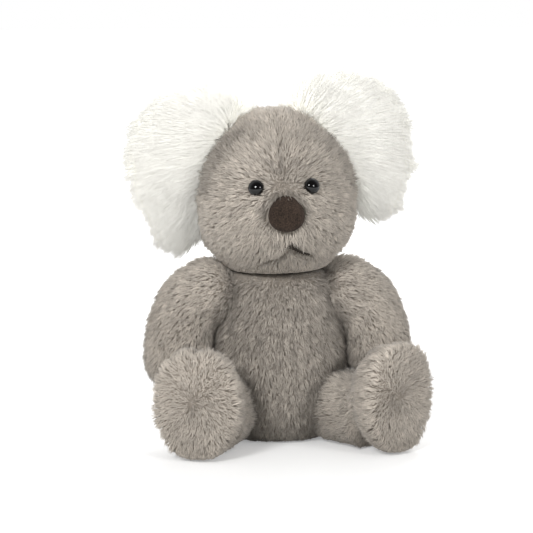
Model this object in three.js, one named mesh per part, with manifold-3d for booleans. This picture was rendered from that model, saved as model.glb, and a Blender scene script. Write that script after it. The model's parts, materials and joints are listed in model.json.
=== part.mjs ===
// Sitting plush koala, built from its sewn panels, stuffing and face trim.
// Millimetres, +Z up, the koala looks along -Y and its own left side is +X.
import * as THREE from 'three';
import { mergeVertices } from 'three/addons/utils/BufferGeometryUtils.js';
import Module from 'manifold-3d';

const wasm = await Module();
wasm.setup();

// Sewing
const plushThickness = 7;        // backing cloth and short pile together
const seamGap = 0.3;             // between two panels that are sewn together
const clearance = 0.3;           // between stuffing, trim and the panels round them
const sweepClearance = 0.5;      // between a limb's root and what it turns against
const groundFlat = 0.5;          // how deep the underside is pressed flat

// Torso
const torsoHeight = 110;
const torsoWidth = 96;
const torsoDepth = 80;
const seatBagHeight = 22;        // pellet bag in the seat, from the ground up

// Head
const headHeight = 105;
const headWidth = 103;
const faceReach = 57;            // neck axis to the front of the face
const napeReach = 48;            // neck axis to the back of the head
const headSeamSetback = 8;       // face seam behind the neck axis
const headTilt = 1.5;            // degrees, towards the koala's right
const headTurn = 15;             // degrees to each side
const muzzleReach = 6;
const muzzleSpread = 19;
const muzzleRise = 36;
const faceShift = -1.8;          // middle of the face, towards the koala's right

// Face trim
const noseWidth = 22.5;
const noseHeight = 23;
const noseRise = 41;
const nosePuff = 3.2;
const noseTaperShare = 0.12;     // narrower at its top, wider at its bottom
const eyeDiameter = 10;
const eyeSpacing = 36;
const eyeRise = 58;
const eyeStemDiameter = 3;
const eyeBulge = 3.4;
const washerDiameter = 15;
const washerThickness = 1.6;
const mouthWidth = 27;
const mouthPeak = 6;             // how much higher its middle lies than its ends
const mouthRise = 15;
const mouthShift = 2.2;          // from the middle of the face, towards the koala's left
const threadDiameter = 1.8;

// Ears
const earWidth = 82;
const earHeight = 105;
const earThickness = 42;
const earRootRise = 48;          // outline's zero height above the neck
const earRootInset = 14;         // outline's inner edge beside the head's middle
const earLean = 6;               // degrees, left ear up and right ear down
const earFoldForward = 20;
const earFoldBack = 25;

// Arms
const armThickness = 40;
const armLength = 94;
const shoulderDrop = 13;         // shoulder below the top of the torso
const shoulderSink = 12;         // how deep the arm's root reaches into the torso's side
const shoulderForward = -2;
const pawForward = 16;
const armLift = 60;              // degrees, sideways

// Legs
const legThickness = 54;
const legLength = 62;            // hip axis to the sole
const footWidth = 60;
const footHeight = 72;
const footDepth = 34;
const soleRim = 6;               // leg pile that laps round the sole
const hipSpread = 74;            // between the two hip axes
const hipForward = 20;
const rightLegSplay = 22;
const leftLegSplay = 29;
const legSwing = 60;

// How finely the forms are cut into flats
const bodySides = 24;
const limbSides = 16;
const soleSides = 24;
const stuffingSides = 12;
const earSides = 22;
const trimSides = 12;
const noseSides = 24;
const domeSteps = 4;             // rings from the rim of an eye to its top
const threadSides = 6;
const threadSteps = 12;
const sweepStep = 10;            // degrees between two cuts of a turning limb

// Profiles: height, width and depth along each form, as shares of its named sizes
const torsoShares = [
  [0, 0.56, 0.5], [0.03, 0.72, 0.68], [0.08, 0.85, 0.82], [0.16, 0.95, 0.94], [0.265, 1, 1], [0.4, 0.97, 1],
  [0.53, 0.89, 0.95], [0.726, 0.755, 0.825], [0.91, 0.62, 0.675], [0.973, 0.57, 0.6], [1, 0.5, 0.5],
];
// height, width, reach of the face, reach of the nape
const headShares = [
  [0, 0.46, 0.46, 0.5], [0.043, 0.6, 0.64, 0.65], [0.108, 0.74, 0.78, 0.79], [0.2, 0.9, 0.91, 0.92],
  [0.32, 1, 0.985, 0.98], [0.43, 0.99, 1, 1], [0.54, 0.935, 0.94, 0.98], [0.65, 0.84, 0.85, 0.92],
  [0.76, 0.69, 0.72, 0.81], [0.834, 0.56, 0.6, 0.69], [0.89, 0.46, 0.5, 0.57], [0.935, 0.365, 0.39, 0.45],
  [0.97, 0.26, 0.27, 0.31], [0.992, 0.14, 0.15, 0.17],
];
// outline of the ear in its own plane: across from the inner edge, and up
const earShares = [
  [0, 0.57], [0.1, 0.65], [0.3, 0.7], [0.54, 0.702], [0.73, 0.64], [0.9, 0.51], [0.985, 0.36],
  [0.99, 0.18], [0.955, 0.01], [0.86, -0.12], [0.77, -0.23], [0.635, -0.29], [0.5, -0.25],
  [0.42, -0.15], [0.37, 0.03], [0.22, 0.25], [0.07, 0.46],
];
// seam of the ear, as shares of the same outline: its upper and its lower end
const earSeamShares = [[0.08, 0.51], [0.41, 0.03]];
const earPivotShare = [0.25, 0.25];      // point of the outline that stays put when the ear leans
// centre line of the arm below the shoulder: outwards and down, as shares of the arm's length
const armLineShares = [[0, 0], [0.105, 0.1], [0.205, 0.26], [0.265, 0.41], [0.3, 0.54]];
// thickness of the arm along that line, as shares of its plain thickness
const armGirthShares = [1.14, 1.16, 1.17, 1.12, 1.03];
// leg behind the foot: along the leg and girth, as shares of the distance to the ankle and thickness
const legShares = [[0.2, 1], [0.6, 0.99], [1, 1.02]];
// foot: along its depth, width and height, as shares of its depth, width and height
const footShares = [
  [0.2, 0.9, 0.84], [0.44, 0.99, 0.965], [0.7, 1, 1], [0.88, 0.94, 0.96], [0.97, 0.8, 0.84], [1, 0.56, 0.6],
];
const legPlumpShare = 0.88;
const capAngleShares = [1 / 3, 2 / 3];   // of a right angle, rings in a rounded end
// places along the mouth, from its middle, as shares of half its width
const mouthShares = [-1, -0.65, -0.3, 0, 0.3, 0.65, 1];

const greyPlush = { color: 0xa69d92, roughness: 0.95, metalness: 0 };
const darkGreyPlush = { color: 0x9a9186, roughness: 0.95, metalness: 0 };
const whitePlush = { color: 0xf1eee6, roughness: 0.95, metalness: 0 };
const suede = { color: 0x46382f, roughness: 0.85, metalness: 0 };
const blackGloss = { color: 0x0b0a0a, roughness: 0.08, metalness: 0 };
const blackThread = { color: 0x3a332e, roughness: 0.8, metalness: 0 };
const fibre = { color: 0xf4f3ef, roughness: 1, metalness: 0 };
const bagCloth = { color: 0xdad5c9, roughness: 0.9, metalness: 0 };
const washerPlastic = { color: 0xe4e4e2, roughness: 0.5, metalness: 0 };

const radians = THREE.MathUtils.degToRad;
const upward = new THREE.Vector3(0, 0, 1);
const backward = new THREE.Vector3(0, 1, 0);

// Closed surfaces and solids

// A closed surface through rings of equally many points, with one point shutting each end.
function ringGeometry(rings, firstPole, lastPole) {
  const sides = rings[0].length;
  const points = [firstPole, ...rings.flat(), lastPole];
  const last = points.length - 1;
  const index = [];
  for (let side = 0; side < sides; side += 1) {
    const next = (side + 1) % sides;
    index.push(0, 1 + next, 1 + side);
    for (let ring = 0; ring < rings.length - 1; ring += 1) {
      const low = 1 + ring * sides;
      const high = low + sides;
      index.push(low + side, low + next, high + side, low + next, high + next, high + side);
    }
    const top = last - sides;
    index.push(last, top + side, top + next);
  }
  const geometry = new THREE.BufferGeometry();
  geometry.setAttribute('position', new THREE.Float32BufferAttribute(points.flatMap((p) => p.toArray()), 3));
  geometry.setIndex(index);
  return geometry;
}

function solidFrom(geometry) {
  const bare = geometry.clone();
  bare.deleteAttribute('normal');
  bare.deleteAttribute('uv');
  const merged = mergeVertices(bare);
  return new wasm.Manifold(new wasm.Mesh({
    numProp: 3,
    vertProperties: new Float32Array(merged.attributes.position.array),
    triVerts: new Uint32Array(merged.index.array),
  }));
}

function geometryFrom(solid) {
  const mesh = solid.getMesh();
  const geometry = new THREE.BufferGeometry();
  geometry.setAttribute('position', new THREE.BufferAttribute(new Float32Array(mesh.vertProperties), 3));
  geometry.setIndex(new THREE.BufferAttribute(new Uint32Array(mesh.triVerts), 1));
  return geometry;
}

function moved(solid, matrix) {
  const geometry = geometryFrom(solid);
  geometry.applyMatrix4(matrix);
  return solidFrom(geometry);
}

// A block that fills the space on the positive side of a plane.
function spaceBeyond(point, normal) {
  const size = headHeight + torsoHeight + earHeight + legLength;
  const geometry = new THREE.BoxGeometry(size, size, size);
  const turn = new THREE.Quaternion().setFromUnitVectors(upward, normal.clone().normalize());
  geometry.translate(0, 0, size / 2);
  geometry.applyQuaternion(turn);
  geometry.translate(point.x, point.y, point.z);
  return solidFrom(geometry);
}

// The two sides of a seam that lies in a plane.
function splitBySeam(solid, point, normal) {
  const shift = normal.clone().normalize().multiplyScalar(seamGap / 2);
  const beyond = spaceBeyond(point.clone().add(shift), normal);
  const before = spaceBeyond(point.clone().sub(shift), normal.clone().negate());
  return [solid.intersect(beyond), solid.intersect(before)];
}

function aboveGround(solid) {
  return solid.intersect(spaceBeyond(new THREE.Vector3(), upward));
}

function turnAbout(point, axis, degrees) {
  const matrix = new THREE.Matrix4().makeTranslation(point);
  matrix.multiply(new THREE.Matrix4().makeRotationAxis(axis, radians(degrees)));
  return matrix.multiply(new THREE.Matrix4().makeTranslation(point.clone().negate()));
}

// Everything that a fixed solid covers, seen from a limb that turns from one angle to the other.
function sweptPast(solid, point, axis, fromDegrees, toDegrees) {
  const steps = Math.ceil((toDegrees - fromDegrees) / sweepStep);
  let covered = solid;
  for (let step = 0; step <= steps; step += 1) {
    const degrees = fromDegrees + ((toDegrees - fromDegrees) * step) / steps;
    covered = covered.add(moved(solid, turnAbout(point, axis, -degrees)));
  }
  return covered;
}

function shareBetween(rows, height, column) {
  const above = Math.max(1, rows.findIndex((row) => row[0] >= height));
  const [low, high] = [rows[above - 1], rows[above]];
  return THREE.MathUtils.mapLinear(height, low[0], high[0], low[column], high[column]);
}

// Torso

function torsoForm(inset, sides) {
  const halfWidth = torsoWidth / 2 - inset;
  const halfDepth = torsoDepth / 2 - inset;
  const bottom = inset - groundFlat;
  const height = torsoHeight - inset - bottom;
  const ringAt = ([rise, width, depth]) => Array.from({ length: sides }, (_, side) => {
    const angle = (side / sides) * 2 * Math.PI;
    const x = halfWidth * width * Math.cos(angle);
    return new THREE.Vector3(x, halfDepth * depth * Math.sin(angle), bottom + height * rise);
  });
  const low = new THREE.Vector3(0, 0, bottom);
  return solidFrom(ringGeometry(torsoShares.map(ringAt), low, new THREE.Vector3(0, 0, bottom + height)));
}

function buildTorso() {
  const skin = aboveGround(torsoForm(0, bodySides)).subtract(torsoForm(plushThickness, stuffingSides));
  const [back, belly] = splitBySeam(skin, new THREE.Vector3(), backward);
  const filling = torsoForm(plushThickness + clearance, stuffingSides);
  const bagTop = new THREE.Vector3(0, 0, seatBagHeight);
  const [stuffing, bag] = splitBySeam(filling, bagTop, upward);
  return { belly, back, stuffing, bag };
}

// Head, measured from the neck

const neckLift = seamGap + headShares[0][1] * (headWidth / 2) * Math.sin(radians(headTilt));
const neckPoint = new THREE.Vector3(0, 0, torsoHeight + neckLift);
const neckAxis = upward.clone().applyAxisAngle(backward, -radians(headTilt));

// Point of the head's form: height share, angle round it, and how far inside the surface.
function headPoint(row, angle, inset) {
  const [rise, width, face, nape] = row;
  const reach = Math.sin(angle) < 0 ? (faceReach - inset) * face : (napeReach - inset) * nape;
  const x = (headWidth / 2 - inset) * width * Math.cos(angle);
  const y = reach * Math.sin(angle);
  const z = inset + (headHeight - 2 * inset) * rise;
  return new THREE.Vector3(x, y - muzzleAt(x, y, z), z);
}

// How far the muzzle stands out of the face: a round hump in front of the neck axis.
function muzzleAt(x, y, z) {
  if (y >= 0) return 0;
  const distance = Math.hypot(x, z - muzzleRise) / muzzleSpread;
  return muzzleReach * Math.exp(-0.5 * distance * distance) * Math.min(1, -y / muzzleSpread);
}

function headForm(inset, sides) {
  const ringAt = (row) => Array.from({ length: sides }, (_, side) => (
    headPoint(row, (side / sides) * 2 * Math.PI, inset)));
  const low = new THREE.Vector3(0, 0, inset);
  const high = new THREE.Vector3(0, 0, headHeight - inset);
  return solidFrom(ringGeometry(headShares.map(ringAt), low, high));
}

// Where a line along +Y at x and height z meets the face.
function facePoint(x, z, inset = 0) {
  const rise = (z - inset) / (headHeight - 2 * inset);
  const row = [rise, ...[1, 2, 3].map((column) => shareBetween(headShares, rise, column))];
  const across = x / ((headWidth / 2 - inset) * row[1]);
  return headPoint(row, -Math.acos(across), inset);
}

// Frame on the face whose +Z points straight out of it.
function faceFrame(x, z, inset = 0) {
  const step = eyeStemDiameter;
  const sideways = facePoint(x + step, z, inset).sub(facePoint(x - step, z, inset));
  const up = facePoint(x, z + step, inset).sub(facePoint(x, z - step, inset));
  const out = sideways.clone().cross(up).normalize();
  const flatSide = sideways.normalize();
  const matrix = new THREE.Matrix4().makeBasis(flatSide, out.clone().cross(flatSide), out);
  return matrix.setPosition(facePoint(x, z, inset));
}

// Eye: a polished dome on a stem that goes through the backing cloth. Its base lies at z = 0.
function eyeProfile(grow) {
  const radius = eyeDiameter / 2 + grow;
  const stem = eyeStemDiameter / 2 + grow;
  const end = -plushThickness - clearance - washerThickness;
  const points = [new THREE.Vector2(0, end)];
  points.push(new THREE.Vector2(stem, end));
  points.push(new THREE.Vector2(stem, -plushThickness / 2 - grow));
  points.push(new THREE.Vector2(radius, -plushThickness / 2 - grow));
  for (let step = 0; step < domeSteps; step += 1) {
    const angle = (step / domeSteps) * (Math.PI / 2);
    points.push(new THREE.Vector2(radius * Math.cos(angle), (eyeBulge + grow) * Math.sin(angle)));
  }
  points.push(new THREE.Vector2(0, eyeBulge + grow));
  return points;
}

function turned(profile) {
  const geometry = new THREE.LatheGeometry(profile, trimSides);
  geometry.rotateX(Math.PI / 2);
  return geometry;
}

function washerProfile() {
  const hole = eyeStemDiameter / 2 + clearance;
  const top = -plushThickness - clearance;
  const low = top - washerThickness;
  const rim = washerDiameter / 2;
  const corners = [[hole, low], [rim, low], [rim, top], [hole, top], [hole, low]];
  return corners.map(([radius, height]) => new THREE.Vector2(radius, height));
}

// Nose: an oval suede pad, puffed up in the middle and bedded in the pile.
function nosePad(grow) {
  const wide = noseWidth / 2 + grow;
  const tall = noseHeight / 2 + grow;
  const depthShares = [[0.5, 1], [1, 1], [1, 0], [0.82, -0.55], [0.5, -0.88]];
  const ringAt = ([spread, depth]) => Array.from({ length: noseSides }, (_, side) => {
    const angle = (side / noseSides) * 2 * Math.PI;
    const taper = 1 - noseTaperShare * Math.sin(angle);
    const x = faceShift + wide * spread * taper * Math.cos(angle);
    const z = noseRise + tall * spread * Math.sin(angle);
    const back = depth > 0 ? (plushThickness / 2) * depth + grow : (nosePuff + grow) * depth;
    return facePoint(x, z).add(new THREE.Vector3(0, back, 0));
  });
  const middle = (back) => facePoint(faceShift, noseRise).add(new THREE.Vector3(0, back, 0));
  return ringGeometry(depthShares.map(ringAt), middle(plushThickness / 2 + grow), middle(-nosePuff - grow));
}

// Mouth: one sewn line of thread that rises to a peak in its middle.
function mouthThread(grow) {
  const points = mouthShares.map((share) => {
    const height = mouthRise + mouthPeak * (1 - Math.abs(share)) ** 2;
    return facePoint(faceShift + mouthShift + (share * mouthWidth) / 2, height, threadDiameter / 2);
  });
  const ends = 1 + grow / mouthWidth;
  points[0].lerpVectors(points[1], points[0], ends);
  points.at(-1).lerpVectors(points.at(-2), points.at(-1), ends);
  const section = new THREE.Shape();
  section.absarc(0, 0, threadDiameter / 2 + grow, 0, 2 * Math.PI);
  const extrudePath = new THREE.CatmullRomCurve3(points);
  const fineness = { steps: threadSteps, curveSegments: threadSides };
  return new THREE.ExtrudeGeometry(section, { ...fineness, bevelEnabled: false, extrudePath });
}

function buildHead() {
  const eyeFrames = [-1, 1].map((side) => faceFrame(faceShift + (side * eyeSpacing) / 2, eyeRise));
  let skin = headForm(0, bodySides).subtract(headForm(plushThickness, stuffingSides));
  let stuffing = headForm(plushThickness + clearance, stuffingSides);
  for (const frame of eyeFrames) {
    skin = skin.subtract(solidFrom(turned(eyeProfile(clearance)).applyMatrix4(frame)));
    skin = skin.subtract(solidFrom(turned(pocketProfile(-plushThickness)).applyMatrix4(frame)));
    stuffing = stuffing.subtract(solidFrom(turned(pocketProfile(0)).applyMatrix4(frame)));
  }
  skin = skin.subtract(solidFrom(nosePad(clearance)));
  skin = skin.subtract(solidFrom(mouthThread(clearance)));
  const seam = new THREE.Vector3(0, headSeamSetback, 0);
  const [back, face] = splitBySeam(skin, seam, backward);
  return { face, back, stuffing, eyeFrames };
}

// Room that a washer presses into the stuffing and the back of the face, up to the given height.
function pocketProfile(top) {
  const rim = washerDiameter / 2 + clearance;
  const floor = -plushThickness - 2 * clearance - washerThickness;
  const corners = [[0, floor], [rim, floor], [rim, top], [0, top]];
  return corners.map(([radius, height]) => new THREE.Vector2(radius, height));
}

// Ears

function earPoint([across, up], side) {
  const x = side * (earRootInset + earWidth * across);
  return new THREE.Vector3(x, headSeamSetback, earRootRise + earHeight * up);
}

function earLeanMatrix(side) {
  return turnAbout(earPoint(earPivotShare, side), backward, -earLean);
}

function earHinge(side) {
  const lean = earLeanMatrix(side);
  const [upper, lower] = earSeamShares.map((share) => earPoint(share, side).applyMatrix4(lean));
  const axis = lower.clone().sub(upper).normalize().multiplyScalar(side);
  return { point: upper.clone().add(lower).multiplyScalar(0.5), axis };
}

// One of the two layers of an ear: flat where it is sewn to the other, domed by its long pile.
function earLayer(side, forward) {
  const outline = new THREE.CatmullRomCurve3(earShares.map((share) => earPoint(share, side)), true);
  const rim = outline.getSpacedPoints(earSides).slice(0, earSides);
  if (side * forward > 0) rim.reverse();
  const centre = rim.reduce((sum, point) => sum.add(point), new THREE.Vector3()).divideScalar(rim.length);
  const domeShares = [[1, 0.3], [0.86, 0.68], [0.58, 0.93]];
  const ringAt = ([spread, puff]) => rim.map((point) => {
    const place = new THREE.Vector3().lerpVectors(centre, point, spread);
    place.y -= forward * (seamGap / 2 + (earThickness / 2 - seamGap / 2) * puff);
    return place;
  });
  const lift = (puff) => centre.clone().add(new THREE.Vector3(0, -forward * puff, 0));
  const sewn = rim.map((point) => point.clone().add(new THREE.Vector3(0, (-forward * seamGap) / 2, 0)));
  const geometry = ringGeometry([sewn, ...domeShares.map(ringAt)], lift(seamGap / 2), lift(earThickness / 2));
  return solidFrom(geometry.applyMatrix4(earLeanMatrix(side)));
}

function buildEar(side) {
  const { point, axis } = earHinge(side);
  const head = headForm(-sweepClearance, bodySides);
  const covered = sweptPast(head, point, axis, -earFoldBack, earFoldForward);
  const [front, back] = [1, -1].map((forward) => earLayer(side, forward).subtract(covered));
  return { front, back, point, axis };
}

// Limbs

// All that the head takes up above the arms while it turns.
function turningHead(gap) {
  const upright = new THREE.Matrix4().makeRotationY(-radians(headTilt)).setPosition(neckPoint);
  const head = moved(headForm(-gap, bodySides), upright);
  return sweptPast(head, neckPoint, neckAxis, -headTurn, headTurn);
}

// Rings of a round limb along a curve, with half-round ends, shrunk by the inset.
function limbForm(curve, girths, inset, sides) {
  const last = girths.length - 1;
  const radii = girths.map((girth) => girth / 2 - inset);
  const frameAt = (share) => {
    const centre = curve.getPointAt(share);
    const along = curve.getTangentAt(share);
    const sideways = backward.clone().cross(along).normalize();
    return { centre, along, sideways, other: along.clone().cross(sideways) };
  };
  const ringAt = (share, radius, slide) => {
    const { centre, along, sideways, other } = frameAt(share);
    return Array.from({ length: sides }, (_, side) => {
      const angle = (side / sides) * 2 * Math.PI;
      return centre.clone().addScaledVector(along, slide)
        .addScaledVector(sideways, radius * Math.cos(angle)).addScaledVector(other, radius * Math.sin(angle));
    });
  };
  // Rings in the rounding of one end, whose radius points away from the limb.
  const capRings = (end, radius) => capAngleShares.map((share) => {
    const angle = share * (Math.PI / 2);
    return ringAt(end, Math.abs(radius) * Math.sin(angle), radius * Math.cos(angle));
  });
  const pole = (end, radius) => frameAt(end).centre.addScaledVector(frameAt(end).along, radius);
  const rings = [
    ...capRings(0, -radii[0]),
    ...radii.map((radius, row) => ringAt(row / last, radius, 0)),
    ...capRings(1, radii[last]).reverse(),
  ];
  return solidFrom(ringGeometry(rings, pole(0, -radii[0]), pole(1, radii[last])));
}

function shoulderPoint(side) {
  const rise = torsoHeight - shoulderDrop;
  const flank = (torsoWidth / 2) * shareBetween(torsoShares, rise / torsoHeight, 1);
  const across = flank + armThickness / 2 - shoulderSink;
  return new THREE.Vector3(side * across, -shoulderForward, rise);
}

function armForm(side, inset, sides) {
  const shoulder = shoulderPoint(side);
  const points = armLineShares.map(([out, down]) => {
    const forward = pawForward * down;
    return new THREE.Vector3(side * out * armLength, -forward, -down * armLength).add(shoulder);
  });
  const girths = armGirthShares.map((share) => armThickness * share);
  return limbForm(new THREE.CatmullRomCurve3(points), girths, inset, sides);
}

function buildArm(side) {
  const point = shoulderPoint(side);
  const axis = backward.clone().multiplyScalar(-side);
  const torsoBy = (gap, sides) => sweptPast(torsoForm(-gap, sides), point, axis, 0, armLift);
  const headBy = sweptPast(turningHead(clearance), point, axis, 0, armLift);
  const leg = legForm(side, -sweepClearance, limbSides);
  const legBy = sweptPast(leg, hipPoint(side), hipAxis(side), -legSwing, 0);
  const room = torsoBy(sweepClearance, bodySides).add(headBy).add(legBy);
  const outer = armForm(side, 0, limbSides).subtract(room);
  const roomInside = (gap) => torsoBy(gap, stuffingSides).add(legForm(side, -gap, stuffingSides));
  const inner = armForm(side, plushThickness, stuffingSides)
    .subtract(roomInside(sweepClearance + plushThickness));
  const stuffing = armForm(side, plushThickness + clearance, stuffingSides)
    .subtract(roomInside(sweepClearance + plushThickness + clearance));
  const [back, front] = splitBySeam(outer.subtract(inner), point, backward);
  return { front, back, stuffing, point, axis };
}

// Fills out the corners of an oval section, as stuffing does.
function plump(value) {
  return Math.sign(value) * Math.abs(value) ** legPlumpShare;
}

function hipPoint(side) {
  return new THREE.Vector3((side * hipSpread) / 2, -hipForward, legThickness / 2 - groundFlat);
}

function legAlong(side) {
  const splay = radians(side > 0 ? leftLegSplay : rightLegSplay);
  return new THREE.Vector3(side * Math.sin(splay), -Math.cos(splay), 0);
}

function hipAxis(side) {
  return legAlong(side).cross(upward).negate();
}

// Leg and foot along one straight line: a round thigh that ends in a tall, blunt foot.
function legForm(side, inset, sides) {
  const hip = hipPoint(side);
  const along = legAlong(side);
  const across = upward.clone().cross(along);
  const ringAt = (distance, halfWidth, low, high) => Array.from({ length: sides }, (_, turn) => {
    const angle = (turn / sides) * 2 * Math.PI;
    const place = hip.clone().addScaledVector(along, distance);
    place.addScaledVector(across, halfWidth * plump(Math.cos(angle)));
    return place.setZ((high + low) / 2 + ((high - low) / 2) * plump(Math.sin(angle)));
  });
  const radius = legThickness / 2 - inset;
  const ankle = legLength - footDepth;
  const middle = hip.z;
  const capRings = capAngleShares.map((share) => {
    const angle = share * (Math.PI / 2);
    const spread = radius * Math.sin(angle);
    return ringAt(-radius * Math.cos(angle), spread, middle - spread, middle + spread);
  });
  const ball = ringAt(0, radius, middle - radius, middle + radius);
  const thigh = legShares.map(([place, girth]) => {
    const half = radius * girth;
    return ringAt(ankle * place, half, inset - groundFlat, 2 * half + inset - groundFlat);
  });
  const foot = footShares.map(([place, width, height]) => {
    const shrink = inset * width;
    const half = (footWidth / 2) * width - shrink;
    const top = (footHeight / 2) * (1 + height) - shrink;
    const low = (footHeight / 2) * (1 - height) + shrink - groundFlat;
    return ringAt(ankle + (footDepth - inset) * place, half, low, top);
  });
  const pole = (distance, rise) => hip.clone().addScaledVector(along, distance).setZ(rise);
  const rings = [...capRings, ball, ...thigh, ...foot];
  return solidFrom(ringGeometry(rings, pole(-radius, middle), pole(legLength - inset, footHeight / 2)));
}

// An oval plug along the leg that is as wide as the sole panel.
function solePlug(side, grow) {
  const along = legAlong(side);
  const geometry = new THREE.CylinderGeometry(1, 1, 1, soleSides);
  geometry.rotateX(Math.PI / 2);
  geometry.translate(0, 0, 0.5);
  const reach = plushThickness * 2;
  geometry.scale(footWidth / 2 - soleRim + grow, footHeight / 2 - soleRim + grow, reach * 2);
  const start = hipPoint(side).addScaledVector(along, legLength - reach).setZ(footHeight / 2);
  const matrix = new THREE.Matrix4().makeBasis(along.clone().cross(upward).negate(), upward, along);
  return solidFrom(geometry.applyMatrix4(matrix.setPosition(start)));
}

function buildLeg(side) {
  const point = hipPoint(side);
  const axis = hipAxis(side);
  const torsoBy = (gap, sides) => sweptPast(torsoForm(-gap, sides), point, axis, 0, legSwing);
  const outer = aboveGround(legForm(side, 0, limbSides)).subtract(torsoBy(sweepClearance, bodySides));
  const inner = legForm(side, plushThickness, stuffingSides)
    .subtract(torsoBy(sweepClearance + plushThickness, stuffingSides));
  const stuffing = legForm(side, plushThickness + clearance, stuffingSides)
    .subtract(torsoBy(sweepClearance + plushThickness + clearance, stuffingSides));
  const skin = outer.subtract(inner);
  const sole = skin.intersect(solePlug(side, 0));
  const sleeve = skin.subtract(solePlug(side, seamGap));
  const [outside, inside] = splitBySeam(sleeve, point, axis.clone().multiplyScalar(side));
  return { outside, inside, sole, stuffing, point, axis };
}

// Scene graph: one group turns about each sewn joint

const koala = new THREE.Group();

// The group stands at the joint and notes the axis that it turns about, in its parent's frame.
function turningGroup(parent, point, axis) {
  const group = new THREE.Group();
  group.position.copy(point);
  group.userData.axis = axis.toArray();
  parent.add(group);
  return group;
}

// A named piece whose solid was worked out in the frame that holds the joint's point.
function addPiece(group, name, geometry, finish, origin = new THREE.Vector3()) {
  const mesh = new THREE.Mesh(geometry, new THREE.MeshStandardMaterial(finish));
  geometry.translate(-origin.x, -origin.y, -origin.z);
  mesh.name = name;
  group.add(mesh);
  return mesh;
}

const torso = buildTorso();
addPiece(koala, 'belly_panel', geometryFrom(torso.belly), greyPlush);
addPiece(koala, 'back_panel', geometryFrom(torso.back), darkGreyPlush);
addPiece(koala, 'body_stuffing', geometryFrom(torso.stuffing), fibre);
addPiece(koala, 'seat_bean_bag', geometryFrom(torso.bag), bagCloth);

const head = buildHead();
const headGroup = turningGroup(koala, neckPoint, neckAxis);
headGroup.rotation.y = -radians(headTilt);
addPiece(headGroup, 'face_panel', geometryFrom(head.face), greyPlush);
addPiece(headGroup, 'head_back_panel', geometryFrom(head.back), darkGreyPlush);
addPiece(headGroup, 'head_stuffing', geometryFrom(head.stuffing), fibre);
addPiece(headGroup, 'nose', nosePad(0), suede);
addPiece(headGroup, 'mouth_stitch', mouthThread(0), blackThread);
for (const [place, sideName] of ['right', 'left'].entries()) {
  const frame = head.eyeFrames[place];
  addPiece(headGroup, `${sideName}_eye`, turned(eyeProfile(0)).applyMatrix4(frame), blackGloss);
  addPiece(headGroup, `${sideName}_eye_washer`, turned(washerProfile()).applyMatrix4(frame), washerPlastic);
}

for (const [sideName, side] of [['right', -1], ['left', 1]]) {
  const ear = buildEar(side);
  const earGroup = turningGroup(headGroup, ear.point, ear.axis);
  addPiece(earGroup, `${sideName}_ear_front`, geometryFrom(ear.front), whitePlush, ear.point);
  addPiece(earGroup, `${sideName}_ear_back`, geometryFrom(ear.back), whitePlush, ear.point);

  const arm = buildArm(side);
  const armGroup = turningGroup(koala, arm.point, arm.axis);
  addPiece(armGroup, `${sideName}_arm_front_panel`, geometryFrom(arm.front), greyPlush, arm.point);
  addPiece(armGroup, `${sideName}_arm_back_panel`, geometryFrom(arm.back), darkGreyPlush, arm.point);
  addPiece(armGroup, `${sideName}_arm_stuffing`, geometryFrom(arm.stuffing), fibre, arm.point);

  const leg = buildLeg(side);
  const legGroup = turningGroup(koala, leg.point, leg.axis);
  addPiece(legGroup, `${sideName}_leg_outer_panel`, geometryFrom(leg.outside), greyPlush, leg.point);
  addPiece(legGroup, `${sideName}_leg_inner_panel`, geometryFrom(leg.inside), darkGreyPlush, leg.point);
  addPiece(legGroup, `${sideName}_sole_panel`, geometryFrom(leg.sole), greyPlush, leg.point);
  addPiece(legGroup, `${sideName}_leg_stuffing`, geometryFrom(leg.stuffing), fibre, leg.point);
}

// The origin lies under the middle of the whole toy, on the ground.
koala.updateMatrixWorld(true);
const extent = new THREE.Box3().setFromObject(koala, true);
const middle = extent.getCenter(new THREE.Vector3());
koala.position.set(-middle.x, -middle.y, -extent.min.z);

export default koala;
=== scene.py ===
# %% [markdown]
# A sitting plush koala
#
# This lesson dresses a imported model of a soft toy: grey plush over stuffing, long white pile on the ears,
# a suede nose, two bead eyes and one sewn line for a mouth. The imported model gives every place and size, so
# the first step loads it and keeps its box. All lengths are in metres and Z points up. The koala looks along
# -Y, so its own right side is at negative X.

# %% Load the frame
import json

import bmesh
import bpy
import numpy as np
from mathutils import Matrix


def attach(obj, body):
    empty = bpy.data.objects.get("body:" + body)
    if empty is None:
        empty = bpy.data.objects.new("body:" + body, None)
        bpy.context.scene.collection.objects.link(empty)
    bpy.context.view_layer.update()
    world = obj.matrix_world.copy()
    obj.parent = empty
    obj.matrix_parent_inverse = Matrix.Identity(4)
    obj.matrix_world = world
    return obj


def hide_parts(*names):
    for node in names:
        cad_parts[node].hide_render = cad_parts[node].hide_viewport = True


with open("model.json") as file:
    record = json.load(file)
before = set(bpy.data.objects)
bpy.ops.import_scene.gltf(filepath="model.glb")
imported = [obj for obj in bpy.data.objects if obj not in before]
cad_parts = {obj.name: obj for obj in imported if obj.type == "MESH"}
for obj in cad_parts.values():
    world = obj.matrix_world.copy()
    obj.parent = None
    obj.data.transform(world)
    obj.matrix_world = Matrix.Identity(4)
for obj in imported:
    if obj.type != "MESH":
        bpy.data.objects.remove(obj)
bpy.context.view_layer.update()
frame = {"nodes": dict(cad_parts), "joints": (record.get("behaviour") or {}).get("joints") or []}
MM = 0.001

# %% [markdown]
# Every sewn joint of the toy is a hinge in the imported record. A joint's point and axis fix the frame of the
# limb that it carries, so the pile can be planned in the limb's own directions: the head along its leaning
# neck, each leg along its own splay.

# %% Directions and joints
UP = np.array([0.0, 0.0, 1.0])
BACK = np.array([0.0, 1.0, 0.0])
LEFT = np.array([1.0, 0.0, 0.0])
SIDES = {"right": -1, "left": 1}


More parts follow.
